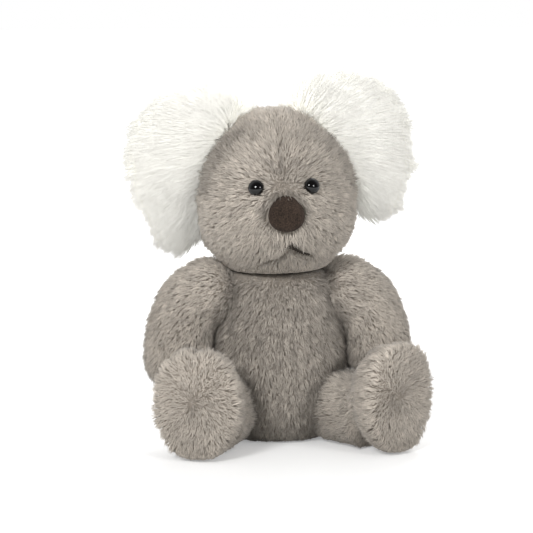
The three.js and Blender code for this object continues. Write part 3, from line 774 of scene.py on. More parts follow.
def ear_outline(side, places):
    """Outline of an ear in the head's X and Z, leaned about its pivot, with a lobe that hangs."""
    shares = closed_curve(np.array(EAR_SHARES), places)

    def plane(values):
        """X and Z of places given as shares of the ear's width and height."""
        return np.stack([SIDES[side] * (EAR_ROOT_INSET + EAR_WIDTH[side] * values[..., 0]),
                         EAR_ROOT_RISE[side] + EAR_HEIGHT * values[..., 1]], axis=-1)

    pivot = plane(EAR_PIVOT_SHARE)
    turn = np.array([[np.cos(EAR_LEAN), -np.sin(EAR_LEAN)], [np.sin(EAR_LEAN), np.cos(EAR_LEAN)]])
    hanging = EAR_DROP[side] * eased(-shares[..., 1:], *EAR_LOBE_SHARES) * [0, 1]
    return pivot + (plane(shares) - pivot) @ turn.T - hanging


def ear_middle(side):
    """Middle of an ear's outline."""
    return ear_outline(side, np.linspace(0, 1, 60, endpoint=False)).mean(axis=0)


def ear_form(side):
    """The pad of one ear: from the middle of its front, over the drawn-in edge, to the middle of its back."""
    middle = ear_middle(side)

    def form(around, along):
        rim = ear_outline(side, around if SIDES[side] > 0 else 1 - around)
        spread = rim - middle
        room = np.linalg.norm(spread, axis=-1, keepdims=True)
        towards = (spread @ unit(EAR_ROOT * [SIDES[side], 1] - middle))[..., None] / room
        inset = EAR_PILE * (1 - EAR_SEWN_SHARE * eased(towards, *EAR_SEWN_SHARES))
        rim = middle + spread * np.maximum(room - inset, EAR_LEAST_SHARE * room) / room
        angle = np.pi * along
        flat = middle + (rim - middle) * (np.sin(angle) ** EAR_EDGE_POWER)[..., None]
        puff = -EAR_PAD_HALF * np.cos(angle)
        return from_head(np.stack([flat[..., 0], HEAD_SEAM_SETBACK + puff, flat[..., 1]], axis=-1))

    return form


ears = {}
for side in SIDES:
    points = grid_of(ear_form(side), 60, 120)
    normals = grid_normals(points)
    pile = np.full(points.shape[:-1], EAR_PILE)
    ears[side] = dict(outer=points, normals=normals, pile=pile, skin=points)
print("ear pads:", ears["left"]["outer"].shape)

# %% [markdown]
# A panel of plush is a thin cloth, so its mesh is one side of the form cut off at the seam and thickened
# inwards. Cutting with a plane and thickening with Solidify keeps each panel one closed body.

# %% Skins of the sewn panels
CLOTH = 1.2 * MM
MERGE_REACH = 1e-7


def add_object(name, mesh, material, body, slot):
    """A finished piece in the scene: it is smooth, rides on a body and takes the given material. The slot is
    not used.
    """
    mesh.polygons.foreach_set("use_smooth", np.ones(len(mesh.polygons), bool))
    mesh.materials.clear()
    mesh.materials.append(material)
    obj = bpy.data.objects.new(name, mesh)
    bpy.context.scene.collection.objects.link(obj)
    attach(obj, body)
    return obj


def grid_faces(rows, columns):
    """Quads of a grid whose rows each have that many columns, closed round."""
    first = np.arange(rows - 1)[:, None] * columns + np.arange(columns)
    second = np.arange(rows - 1)[:, None] * columns + (np.arange(columns) + 1) % columns
    return np.stack([first, second, second + columns, first + columns], axis=-1).reshape(-1, 4).tolist()


def grid_mesh(name, points):
    """Mesh of a grid: the last column is merged into the first, and a row of equal points into one pole."""
    ring = points[:, :-1]
    mesh = bpy.data.meshes.new(name)
    mesh.from_pydata(ring.reshape(-1, 3).tolist(), [], grid_faces(*ring.shape[:2]))
    work = bmesh.new()
    work.from_mesh(mesh)
    bmesh.ops.remove_doubles(work, verts=work.verts, dist=MERGE_REACH)
    work.to_mesh(mesh)
    work.free()
    return mesh


def cut_mesh(name, source, origin, normal):
    """A copy of a mesh with only the part on the positive side of a plane."""
    mesh = source.copy()
    mesh.name = name
    work = bmesh.new()
    work.from_mesh(mesh)
    every = [*work.verts, *work.edges, *work.faces]
    bmesh.ops.bisect_plane(work, geom=every, plane_co=origin, plane_no=normal, clear_inner=True)
    work.to_mesh(mesh)
    work.free()
    return mesh


def skin_piece(mesh, node_name, body, material=grey_backing, slot="grey_plush"):
    """A panel of backing cloth, thickened inwards, that stands for its solid."""
    obj = add_object(mesh.name, mesh, material, body, slot)
    cloth = obj.modifiers.new("cloth", "SOLIDIFY")
    cloth.thickness = CLOTH
    cloth.offset = -1
    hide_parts(node_name)


def half_grid(name, form):
    """Mesh of a skin with every second point of its grid, which is enough for cloth under pile."""
    return grid_mesh(name, form["skin"][::2, ::2])


def two_skins(form, seam, names, body, **finish):
    """The two panels on either side of a form's seam. Each name is that of the skin and of its solid, and the
    front or inner one comes first."""
    origin, normal = seam
    source = half_grid("form", form)
    for (name, node_name), facing in zip(names, (-1, 1)):
        skin_piece(cut_mesh(name, source, origin, normal * facing), node_name, body, **finish)
    bpy.data.meshes.remove(source)


def limb_names(limb, parts, layer, solid):
    """Names of the skins and solids of a limb's two parts, such as right_arm_front_skin."""
    return [(f"{limb}_{part}_{layer}", f"{limb}_{part}{solid}") for part in parts]


two_skins(torso, torso_seam[0], [("belly_skin", "belly_panel"), ("back_skin", "back_panel")], "torso")
two_skins(head, head_seam[0], [("face_skin", "face_panel"), ("head_back_skin", "head_back_panel")], "head")
for side, sign in SIDES.items():
    arm, leg, ear = f"{side}_arm", f"{side}_leg", f"{side}_ear"
    shoulder, _ = joint_place(f"{side}_arm_raise")
    hip, direction, across = leg_directions(side)
    two_skins(arms[side], (shoulder, BACK), limb_names(arm, ("front", "back"), "skin", "_panel"), arm)
    two_skins(legs[side], (hip, across * sign), limb_names(leg, ("inner", "outer"), "skin", "_panel"), leg)
    skin_piece(half_grid(f"{side}_sole_skin", soles[side]), f"{side}_sole_panel", leg)
    two_skins(ears[side], head_seam[0], limb_names(ear, ("front", "back"), "pad", ""), ear,
              material=white_backing, slot="white_pile")

# %% [markdown]
# The trim of the face is small and smooth. The nose is a cushion of suede on the face, so its surface is
# worked out from the face's own: an oval that is a little wider below, puffed up in the middle, with a turned
# edge bedded in the pile.

# %% Nose
FACE_SHIFT = -1.8 * MM
NOSE_WIDTH = 22.5 * MM
NOSE_HEIGHT = 22.5 * MM
NOSE_RISE = 41.6 * MM
NOSE_PUFF = 3.2 * MM
NOSE_BED = 3.5 * MM
NOSE_TAPER_SHARE = 0.12
NOSE_TUCK = 1.8 * MM
NOSE_EDGE_POWER = 0.55

nose_middle = np.array([FACE_SHIFT, 0, NOSE_RISE])
nose_half = np.array([NOSE_WIDTH / 2, 1, NOSE_HEIGHT / 2])


def face_surface(x, z):
    """Place on the face at x and height z of the head's frame: the front half of the ellipse there."""
    table = np.array(HEAD_SHARES[1:-1], float)
    shares = smooth_between(z / HEAD_HEIGHT, table[:, 0], table)
    y = -FACE_REACH * shares[..., 2] * np.sqrt(1 - np.clip(x / (HEAD_HALF * shares[..., 1]), -1, 1) ** 2)
    return np.stack([x, y - muzzle(x, y, z), z], axis=-1)


def nose_form(around, along):
    """Nose: from the middle of its bed, round its edge, to the middle of its front. Its depth is the sine of
    the turn from edge to front, and its upper part is tucked into the pile."""
    turn = np.pi / 2 * np.sin(np.pi * (along - 0.5))
    spread = np.cos(turn) ** NOSE_EDGE_POWER
    angle = 2 * np.pi * around
    taper = 1 - NOSE_TAPER_SHARE * np.sin(angle)
    x = FACE_SHIFT + NOSE_WIDTH / 2 * spread * taper * np.cos(angle)
    z = NOSE_RISE + NOSE_HEIGHT / 2 * spread * np.sin(angle)
    depth = np.where(turn < 0, -NOSE_BED * np.sin(turn), -NOSE_PUFF * np.sin(turn))
    depth += NOSE_TUCK * eased(z, NOSE_RISE + NOSE_HEIGHT / 6, NOSE_RISE + NOSE_HEIGHT / 2)
    return from_head(face_surface(x, z) + depth[..., None] * BACK)


def trim_piece(name, form, rows, columns, material, slot, *nodes):
    """A piece of the face's trim from a closed form. It stands for the named solids."""
    obj = add_object(name, grid_mesh(name, grid_of(form, rows, columns)), material, "head", slot)
    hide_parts(*nodes)
    return obj


suede_cloth = cloth_material("suede_nap", (0.033, 0.022, 0.016), yarn=1100.0, depth=4.5, bump=0.9, sheen=0.04)
nose = trim_piece("suede_nose", nose_form, 60, 96, suede_cloth, "suede", "nose")
print("nose:", len(nose.data.polygons), "faces")

# %% [markdown]
# Each eye is a polished bead on a stem that goes through the cloth into a washer, so a profile turned about
# the stem makes it. The washer pulls the bead a little way into the pile.

# %% Eyes
EYE_RADIUS = 5 * MM
EYE_BULGE = 3.6 * MM
EYE_SINK = 1.1 * MM
EYE_SEAT = 3.5 * MM
EYE_SPACING = 36 * MM
EYE_RISE = 58 * MM
STEM_RADIUS = 1.5 * MM
STEM_REACH = 8.9 * MM
SLOPE_STEP = 1 * MM

bead_gloss, tree, shader = new_material("bead_gloss")
shader.inputs["Base Color"].default_value = (0.002, 0.0017, 0.0015, 1)
shader.inputs["Roughness"].default_value = 0.05
shader.inputs["Specular IOR Level"].default_value = 0.36


def face_directions(x, z):
    """Unit directions on the face at a place: across, up along the surface, and out of it."""
    across = unit(face_surface(x + SLOPE_STEP, z) - face_surface(x - SLOPE_STEP, z))
    rising = unit(face_surface(x, z + SLOPE_STEP) - face_surface(x, z - SLOPE_STEP))
    out = unit(np.cross(across, rising))
    return across, np.cross(out, across), out


def turned_form(profile, origin, directions):
    """A profile of (radius, height) rows, turned about the third of three directions at a place."""
    profile = np.array(profile, float)
    knots = np.linspace(0, 1, len(profile))

    def form(around, along):
        radius, height = (np.interp(along, knots, profile[:, column]) for column in (0, 1))
        angle = 2 * np.pi * around
        local = np.stack([radius * np.cos(angle), radius * np.sin(angle), height], axis=-1)
        return from_head(origin + local @ np.array(directions))

    return form


bead = [(0, -STEM_REACH), (STEM_RADIUS, -STEM_REACH), (STEM_RADIUS, -EYE_SEAT), (EYE_RADIUS, -EYE_SEAT)]
quarter = np.linspace(0, np.pi / 2, 16)
bead += np.stack([EYE_RADIUS * np.cos(quarter), EYE_BULGE * np.sin(quarter)], axis=1).tolist()
bead[-1][0] = 0.0
eye_places = {}
for side, sign in SIDES.items():
    x = FACE_SHIFT + sign * EYE_SPACING / 2
    eye_places[side] = face_surface(x, EYE_RISE)
    directions = face_directions(x, EYE_RISE)
    form = turned_form(bead, eye_places[side] - directions[2] * EYE_SINK, directions)
    trim_piece(f"{side}_eye_bead", form, len(bead) - 1, 48, bead_gloss, "eye_gloss", f"{side}_eye")
print("eyes at", {side: np.round(place, 4).tolist() for side, place in eye_places.items()})

# %% [markdown]
# The mouth is one line of dark thread that rises to a small peak under the nose. It is drawn deeper into the
# pile on the koala's right, where the fur falls over it. The thread is thick at the peak and thinner towards
# its ends. Two twisted plies are two helices about that line.

# %% Mouth
MOUTH_WIDTH = 27 * MM
MOUTH_RISE = 14 * MM
MOUTH_PEAK = 7 * MM
MOUTH_SHIFT = 2.2 * MM
MOUTH_POWER = 1.5
PLY_RADIUS = 0.8 * MM
PLY_TAPER_SHARE = 0.45
PLY_TURNS = 9
PLY_END_SHARE = 0.02
HELIX_SHARE = 0.8
THREAD_SINK = 0.9 * MM
THREAD_DIP = 3.5 * MM
DIP_SHARES = (0, 0.25)
SINK_SHARES = (0.4, 1)

thread_cloth = cloth_material("dark_thread", (0.03, 0.025, 0.02), yarn=4000.0, depth=0.6)


def mouth_line(places):
    """Centre of the mouth at shares from end to end: flat ends and a peak that falls off from the middle."""
    share = 2 * places - 1
    x = FACE_SHIFT + MOUTH_SHIFT + share * MOUTH_WIDTH / 2
    z = MOUTH_RISE + MOUTH_PEAK * (1 - np.abs(share)) ** MOUTH_POWER
    sink = THREAD_SINK + THREAD_DIP * eased(-share, *DIP_SHARES) + THREAD_SINK * eased(share, *SINK_SHARES)
    return face_surface(x, z) + sink[..., None] * BACK


def ply_form(phase):
    """One ply: a tube of rings about a helix round the mouth's line, closed at both ends."""

    def form(around, along):
        place = np.clip((along - PLY_END_SHARE) / (1 - 2 * PLY_END_SHARE), 0, 1)
        tangent = line_direction(mouth_line, place)
        across = unit(np.cross(UP, tangent))
        other = np.cross(tangent, across)
        helix = circle(2 * np.pi * PLY_TURNS * place + phase, across, other)
        ring = circle(2 * np.pi * around, across, other)
        thick = PLY_RADIUS * (1 - PLY_TAPER_SHARE * np.abs(2 * place - 1))[..., None]
        closing = np.sqrt(np.clip(np.minimum(along, 1 - along) / PLY_END_SHARE, 0, 1))[..., None]
        return from_head(mouth_line(place) + thick * (HELIX_SHARE * helix + ring * closing))

    return form


for number, replaced in enumerate((["mouth_stitch"], [])):
    trim_piece(f"mouth_ply_{number + 1}", ply_form(number * np.pi), 150, 8, thread_cloth, "thread", *replaced)
print("mouth from", np.round(mouth_line(np.array([0.0, 1.0])), 4).tolist())

# %% [markdown]
# Pile is thousands of small locks of fibre. Hair particles would be quick, but they leave no mesh behind, so
# each lock here is a closed, three-sided spindle, pointed at both ends, that leaves the skin steeply and
# bends over with the nap. All locks of a panel are worked out at once as arrays. First the roots are
# scattered evenly over the skin.

# %% Roots of the pile


def scatter(form, count, draw, keep=None):
    """Roots spread evenly over a skin: stretches of equal area in order along the grid, then a chance place
    in the cell. Returns places, outward directions, pile heights and the step along the form."""
    skin = form["skin"]
    low_a, low_b, high_a, high_b = skin[:-1, :-1], skin[:-1, 1:], skin[1:, :-1], skin[1:, 1:]
    normals = np.cross(high_b - low_a, high_a - low_b)
    area = np.linalg.norm(normals, axis=-1) / 2
    if keep is not None:
        area = area * keep((low_a + high_b) / 2, form["normals"][:-1, :-1])
    total = np.cumsum(area.ravel())
    cell = np.searchsorted(total, (np.arange(count) + draw.random(count)) / count * total[-1])
    cell = np.minimum(cell, area.size - 1)
    row, column = np.unravel_index(cell, area.shape)
    s, t = draw.random((2, count, 1))

    def blended(values):
        """Values at the chosen places: straight steps between the four corners of a cell."""
        values = values if values.ndim == 3 else values[..., None]
        first = values[row, column] * (1 - s) + values[row, column + 1] * s
        second = values[row + 1, column] * (1 - s) + values[row + 1, column + 1] * s
        return first * (1 - t) + second * t

    step = unit((skin[1:, :-1] - skin[:-1, :-1])[row, column])
    return blended(skin), unit(blended(form["normals"])), blended(form["pile"])[:, 0], step


demo = scatter(head, 4, np.random.default_rng(0))
print("four roots on the head:", np.round(demo[0], 3).tolist())

# %% [markdown]
# The nap gives each lock its direction. A broad wave and a little chance make neighbours differ, and locks
# near each other are drawn together at their tips, as real pile clumps.

# %% Shape of the locks
WAVE_COUNT = 8
WAVE_PEAK = 1.2
NAP_GAIN = 1.4
MAP_ASIDE = 0.004
TONE_LIMITS = (0.01, 0.99)


def waves(points, length, draw):
    """A smooth chance field, mostly between -1 and 1: the sum of sine waves of that length in chance
    directions."""
    direction = unit(draw.normal(size=(WAVE_COUNT, 3))) * (2 * np.pi / length)
    phase = draw.random(WAVE_COUNT) * 2 * np.pi
    return np.sin(points @ direction.T + phase).sum(axis=1) / np.sqrt(WAVE_COUNT) / WAVE_PEAK


def nearest(points, centres, chunk=2000):
    """Number of the centre that is nearest to each point, some points at a time."""
    found = [np.argmin(((part[:, None] - centres[None]) ** 2).sum(axis=2), axis=1)
             for part in np.array_split(points, max(1, len(points) // chunk))]
    return np.concatenate(found)


def lock_spines(roots, normals, nap, lengths, style, draw):
    """Points along each lock: its direction turns from near the normal towards the nap as it rises. It leans
    less where the nap points out of the skin."""
    flat = nap - normals * np.sum(nap * normals, axis=1, keepdims=True)
    strength = np.clip(np.linalg.norm(flat, axis=1, keepdims=True) * NAP_GAIN, 0, 1)
    flat = unit(flat)
    places = [roots]
    swing = draw.normal(size=roots.shape) * style["jitter"]
    for share, lean in zip(style["steps"], style["lean"]):
        angle = np.radians(lean) * strength
        direction = unit(normals * np.cos(angle) + flat * np.sin(angle) + swing)
        swing = swing + draw.normal(size=roots.shape) * style["curl"]
        places.append(places[-1] + direction * (lengths * share)[:, None])
    return np.stack(places, axis=1)


def lock_mesh(name, spines, widths, tones, normals, soft):
    """Mesh of locks: each is a point at the root, a triangle round the spine at each inner step and a point
    at the tip, narrower at each step by the square root of what is left of it. Each lock is lit partly as
    the skin is: its normals are the skin's, mixed with its own by the share soft."""
    count, steps, _ = spines.shape
    rings = steps - 2
    tangent = unit(spines[:, 2:] - spines[:, :-2])
    across = unit(np.cross(tangent, UP + 0.01 * LEFT))
    other = np.cross(tangent, across)
    angle = np.arange(3) * 2 * np.pi / 3
    left = 1 - np.arange(rings) / (rings + 0.5)
    half = widths[:, None] / 2 * np.sqrt(left)
    ring = np.cos(angle)[:, None] * across[:, :, None] + np.sin(angle)[:, None] * other[:, :, None]
    corners = spines[:, 1:-1, None] + ring * half[..., None, None]
    points = np.concatenate([spines[:, :1], corners.reshape(count, rings * 3, 3), spines[:, -1:]], axis=1)
    turn = [(corner, (corner + 1) % 3) for corner in range(3)]
    faces = [(0, 1 + after, 1 + corner) for corner, after in turn]
    for low in range(1, rings * 3 - 2, 3):
        for corner, after in turn:
            faces.append((low + corner, low + after, low + 3 + after))
            faces.append((low + corner, low + 3 + after, low + 3 + corner))
    last = rings * 3 - 2
    faces += [(last + corner, last + after, rings * 3 + 1) for corner, after in turn]
    stride = rings * 3 + 2
    index = (np.array(faces)[None] + np.arange(count)[:, None, None] * stride).reshape(-1)
    mesh = bpy.data.meshes.new(name)
    mesh.vertices.add(count * stride)
    mesh.vertices.foreach_set("co", points.reshape(-1))
    mesh.loops.add(len(index))
    mesh.loops.foreach_set("vertex_index", index)
    mesh.polygons.add(len(index) // 3)
    mesh.polygons.foreach_set("loop_start", np.arange(0, len(index), 3))
    mesh.update()
    mesh.validate()
    mesh.polygons.foreach_set("use_smooth", np.ones(len(mesh.polygons), bool))
    along = np.concatenate([[0.0], np.repeat(np.linspace(0, 1, steps)[1:-1], 3), [1.0]])
    aside = np.concatenate([[0.0], np.tile([0.0, MAP_ASIDE, -MAP_ASIDE], rings), [0.0]])
    shade = np.clip(tones, *TONE_LIMITS)[:, None] + aside
    flat = np.stack(np.broadcast_arrays(along, shade), axis=-1)
    for layer in ("lock", "OFBake"):
        mesh.uv_layers.new(name=layer).data.foreach_set("uv", flat.reshape(-1, 2)[index].ravel())
    mesh.uv_layers["lock"].active_render = True
    ends = [normals[:, None], ring.reshape(count, rings * 3, 3), tangent[:, -1:]]
    lit = unit(np.concatenate(ends, axis=1) * (1 - soft) + normals[:, None] * soft).reshape(-1)
    mesh.attributes.new("custom_normal", "FLOAT_VECTOR", "POINT").data.foreach_set("vector", lit)
    return mesh


demo = lock_mesh("demo", np.array([[[0, 0, 0], [0, 0, 1], [0, 1, 2]]]) * MM, np.array([MM]), np.array([0.5]),
                 UP[None], 0.5)
print("one lock:", len(demo.vertices), "corners and", len(demo.polygons), "triangles")
bpy.data.meshes.remove(demo)

# %% [markdown]
# A style holds what differs between the plushes: the width of a lock, how far its two steps lean over in
# degrees, and how much it curls, clumps and wanders. Locks on the flat of an ear are lit mostly as the ear
# is, and at its edge as themselves, which the level direction says.

# %% Styles of pile
GREY_LOCK = dict(width=0.49 * MM, steps=(0.4, 0.6), lean=(30, 64), jitter=0.13, curl=0.24, clump=8, pull=0.42,
                 wander=0.34, soft=0.45, chance=0.09, clump_chance=0.09)
FACE_LOCK = dict(GREY_LOCK, width=0.53 * MM)
LEG_LOCK = dict(GREY_LOCK, lean=(36, 74), wander=0.26)
SOLE_LOCK = dict(GREY_LOCK, width=0.42 * MM, lean=(34, 70), clump=6, pull=0.3, wander=0.5, curl=0.28,
                 soft=0.6, chance=0.07, clump_chance=0.06)
WHITE_LOCK = dict(width=0.39 * MM, steps=(0.4, 0.6), lean=(62, 84), jitter=0.1, curl=0.04, clump=25,
                  pull=0.12, wander=0.12, soft=0.7, level=BACK, chance=0.03, clump_chance=0.02)
LOCK_LENGTH_SHARE = 1.3
LENGTH_WAVE, LENGTH_SWING = 15 * MM, 0.12
LENGTH_LIMITS = (0.85, 1.15)
WIDTH_LIMITS = (0.75, 1.25)
WANDER_WAVE = 26 * MM
TONE_WAVE, TONE_SWING = 9 * MM, 0.07
CLUMP_POWER = 1.3
LEVEL_FACING = (0.55, 0.98)
ROOT_GAP = GROUND_GAP + 0.1 * MM
fur_count = {}


def grow_pile(name, form, density, nap, body, keep=None, style=GREY_LOCK, material=grey_pile,
              slot="grey_plush", seed=0, shape=None, tone=None):
    """Covers a skin with locks and adds them as one piece: density is the number of locks per square mm, and
    shape and tone give their length and shade as functions of their place."""
    draw = np.random.default_rng(seed)
    skin = form["skin"]
    cell = np.linalg.norm(np.cross(skin[1:, 1:] - skin[:-1, :-1], skin[1:, :-1] - skin[:-1, 1:]), axis=-1) / 2
    if keep is not None:
        cell = cell * keep((skin[:-1, :-1] + skin[1:, 1:]) / 2, form["normals"][:-1, :-1])
    count = int(cell.sum() / MM**2 * density)
    roots, normals, pile, step = scatter(form, count, draw, keep)
    centres = draw.choice(count, max(1, count // style["clump"]), replace=False)
    owner = centres[nearest(roots, roots[centres])]
    wander = np.stack([waves(roots, WANDER_WAVE, draw) for _ in range(3)], axis=1)
    wander = wander + draw.normal(size=(count, 3))[owner]
    direction = nap(roots, normals, step) + wander * style["wander"] / 2
    lengths = pile * LOCK_LENGTH_SHARE * (1 + LENGTH_SWING * waves(roots, LENGTH_WAVE, draw))
    lengths *= draw.uniform(*LENGTH_LIMITS, count) * draw.uniform(*LENGTH_LIMITS, count)[owner]
    if shape is not None:
        lengths = lengths * shape(roots)
    spines = lock_spines(roots, normals, direction, lengths, style, draw)
    share = np.concatenate([[0], np.cumsum(style["steps"])])[None, :, None]
    spines += (spines[owner] - spines) * style["pull"] * share**CLUMP_POWER
    spines[..., 2] = np.maximum(spines[..., 2], ROOT_GAP)
    tones = (tone(roots) if tone else 0.5) + TONE_SWING * waves(roots, TONE_WAVE, draw)
    own, shared = draw.normal(size=count), draw.normal(size=count)[owner]
    tones += style["chance"] * own + style["clump_chance"] * shared
    widths = style["width"] * draw.uniform(*WIDTH_LIMITS, count)
    soft = np.full(count, style["soft"])
    if "level" in style:
        soft = soft * eased(np.abs(normals @ style["level"]), *LEVEL_FACING)
    mesh = lock_mesh(name, spines, widths, tones, normals, soft[:, None, None])
    fur_count[name] = len(mesh.polygons)
    add_object(name, mesh, material, body, slot)


styles = {"grey": GREY_LOCK, "face": FACE_LOCK, "leg": LEG_LOCK, "sole": SOLE_LOCK, "white": WHITE_LOCK}
print("widths of a lock in mm:", {name: round(style["width"] / MM, 2) for name, style in styles.items()})

# %% [markdown]
# The nap is combed differently on each panel. On the face it runs away from the bridge of the nose, up the
# forehead to both sides of a parting and out over the cheeks. Beside each eye it lies away from the bead, and
# it falls over the upper edge of the nose.

# %% Nap of the face
NAP_ORIGIN = np.array([FACE_SHIFT, -58 * MM, 60 * MM])
NAP_DEPTH_SHARE = 0.5
BRIDGE_REACH = 14 * MM
PARTING_WIDTH = 7 * MM
PARTING_RISE = (5 * MM, 20 * MM)
PARTING_PULL = 0.8
EYE_REACH = 8 * MM
EYE_PUSH = 0.35
EYE_OUTSIDE = (-3 * MM, 0)
FRINGE_PULL = 1.6
FRINGE_SHARES = (1.0, 1.5)
FRINGE_TOP_SHARES = (0.1, 0.6)


def face_nap(points, normals, step):
    """Away from the bridge of the nose, where the pile stands up, to both sides of a parting above it, away
    from an eye that is near and down over the upper edge of the nose."""
    local = to_head(points)
    away = local - NAP_ORIGIN
    distance = np.linalg.norm(away * [1, NAP_DEPTH_SHARE, 1], axis=1, keepdims=True)
    direction = away / distance * eased(distance, 0, BRIDGE_REACH)
    aside = away[:, :1] / PARTING_WIDTH
    above = eased(away[:, 2:], *PARTING_RISE)
    direction = direction + PARTING_PULL * LEFT * aside * np.exp(-(aside**2)) * above
    for side, place in eye_places.items():
        spread = (local - place) * [1, 0, 1]
        distance = np.linalg.norm(spread, axis=1, keepdims=True)
        outer = eased(spread[:, :1] * SIDES[side], *EYE_OUTSIDE)
        direction += EYE_PUSH * spread / distance * np.exp(-((distance / EYE_REACH) ** 2)) * outer
    edge = (local - nose_middle)[:, [0, 2]] / nose_half[[0, 2]]
    over = (1 - eased(np.linalg.norm(edge, axis=1), *FRINGE_SHARES)) * eased(edge[:, 1], *FRINGE_TOP_SHARES)
    direction[:, 2] -= FRINGE_PULL * over
    return direction @ head_basis


forehead = from_head(np.array([[0, -50, 80]]) * MM)
print("nap on the forehead:", np.round(face_nap(forehead, None, None), 2).tolist())

# %% [markdown]
# The face is trimmed. Its pile is short between the eyes, outside them and below the mouth, and longer
# between the nose and the mouth. It is long where it falls over an eye's inner side or the nose's upper edge.
# Above the thread no lock is long enough to cover it, except on the koala's right, where the locks end at a
# soft fold a little below the thread.

# %% Length of the face's pile
BRIDGE_LENGTH_SHARE = 0.65
BRIDGE_FADE = (4 * MM, 20 * MM)
EYE_TRIM = 0.35
EYE_TRIM_OUTSIDE = (-3.5 * MM, -1 * MM)
EYE_TRIM_FADE = (5 * MM, 9 * MM)
MEDIAL_GROWTH = 0.35
MEDIAL_REACH = 3.5 * MM
LIP_WIDTH = 11 * MM
LIP_GROWTH = 0.45
LIP_START = (17 * MM, 21 * MM)
LIP_END = (28 * MM, 33 * MM)
FOLD_DROP = 3 * MM
FOLD_SHARES = (0.35, 0.55)
CHIN_TRIM = 0.5
CHIN_REACH = 4 * MM
THREAD_COVER = dict(left=(0.1, 6 * MM), right=(0.3, 5.5 * MM))
THREAD_MIDDLE = FACE_SHIFT + MOUTH_SHIFT - 1 * MM
FRINGE_GROWTH = 0.8
FRINGE_LENGTH_SHARES = (1.05, 1.35)
FRINGE_START = (NOSE_RISE + 2 * MM, NOSE_RISE + 7 * MM)


def from_mouth(local):
    """Distance of places on the face from the line of the mouth, and whether they lie below it. On the
    koala's right the line stands for the ends of the fur that falls over the thread."""
    share = np.linspace(0, 1, 60)
    line = mouth_line(share)[:, [0, 2]]
    line[:, 1] -= FOLD_DROP * (1 - eased(share, *FOLD_SHARES))
    steps = local[:, None, [0, 2]] - line
    distance = np.linalg.norm(steps, axis=2)
    near = np.argmin(distance, axis=1)
    every = np.arange(len(local))
    return distance[every, near], steps[every, near, 1] < 0


def nose_share(flat):
    """Distance from the middle of the nose as a share of its oval: 1 on its edge."""
    return np.linalg.norm((flat - nose_middle[[0, 2]]) / nose_half[[0, 2]], axis=-1)


def face_lengths(points):
    """Length of the face's pile as a share of its plain length."""
    local = to_head(points)
    flat = local[:, [0, 2]]
    bridge = eased(np.linalg.norm(flat - NAP_ORIGIN[[0, 2]], axis=1), *BRIDGE_FADE)
    lengths = BRIDGE_LENGTH_SHARE + (1 - BRIDGE_LENGTH_SHARE) * bridge
    for side, place in eye_places.items():
        spread = flat - place[[0, 2]]
        distance = np.linalg.norm(spread, axis=1)
        outer = eased(spread[:, 0] * SIDES[side], *EYE_TRIM_OUTSIDE)
        lengths *= 1 - EYE_TRIM * outer * (1 - eased(distance, *EYE_TRIM_FADE))
        lengths += MEDIAL_GROWTH * (1 - outer) * (1 - eased(distance - EYE_RADIUS, 0, MEDIAL_REACH))
    lip = np.exp(-(((flat[:, 0] - FACE_SHIFT) / LIP_WIDTH) ** 2))
    lip = lip * eased(local[:, 2], *LIP_START) * (1 - eased(local[:, 2], *LIP_END))
    distance, below = from_mouth(local)
    lengths *= 1 - CHIN_TRIM * below * np.exp(-((distance / CHIN_REACH) ** 2))
    left, right = (least + distance / reach for least, reach in (THREAD_COVER["left"], THREAD_COVER["right"]))
    covering = np.where(local[:, 0] > THREAD_MIDDLE, left, right)
    fringe = (1 - eased(nose_share(flat), *FRINGE_LENGTH_SHARES)) * eased(local[:, 2], *FRINGE_START)
    lengths = lengths * (1 + LIP_GROWTH * lip) + FRINGE_GROWTH * fringe
    return np.where(below, lengths, np.minimum(lengths, covering))


print("length share on the forehead:", np.round(face_lengths(forehead), 2).tolist())

# %% [markdown]
# The tone of a lock shades the pile as light would: darker between the eyes, round the top of the nose, along
# the parting, under the mouth and in front of the ears, most of all the right one, and paler on the jowls and
# the crown.

# %% Tone of the head's pile
PLAIN_TONE = 0.5
BRIDGE_TONE, BRIDGE_TONE_REACH = -0.32, 12 * MM
JOWL_TONE, JOWL_FADE = 0.07, (46 * MM, 60 * MM)
NOSE_TONE, NOSE_TONE_SHARES = -0.42, (1.0, 1.35)
NOSE_TONE_START = (NOSE_RISE - 8 * MM, NOSE_RISE + 2 * MM)
PARTING_TONE, PARTING_TONE_WIDTH = -0.2, 1.3 * MM
PARTING_START, PARTING_END = (62 * MM, 70 * MM), (84 * MM, 96 * MM)
MOUTH_TONE, MOUTH_TONE_REACH = -0.55, 2.6 * MM
MOUTH_TONE_LOSS, MOUTH_TONE_FADE = 0.5, (6 * MM, 14 * MM)
CROWN_TONE, CROWN_START = 0.12, (82 * MM, 98 * MM)
SIDE_TONE = {"right": 0.36, "left": 0.14}
SIDE_FRONT, SIDE_BACK = (-32 * MM, -20 * MM), (12 * MM, 30 * MM)
SIDE_START, SIDE_END = (42 * MM, 56 * MM), (84 * MM, 96 * MM)


def side_shade(local):
    """How dark the pile is in front of the ears: it grows towards the ear's seam and fades behind it."""
    band = eased(local[:, 1], *SIDE_FRONT) * (1 - eased(local[:, 1], *SIDE_BACK))
    level = eased(local[:, 2], *SIDE_START) * (1 - eased(local[:, 2], *SIDE_END))
    return band * level * np.where(local[:, 0] < 0, SIDE_TONE["right"], SIDE_TONE["left"])


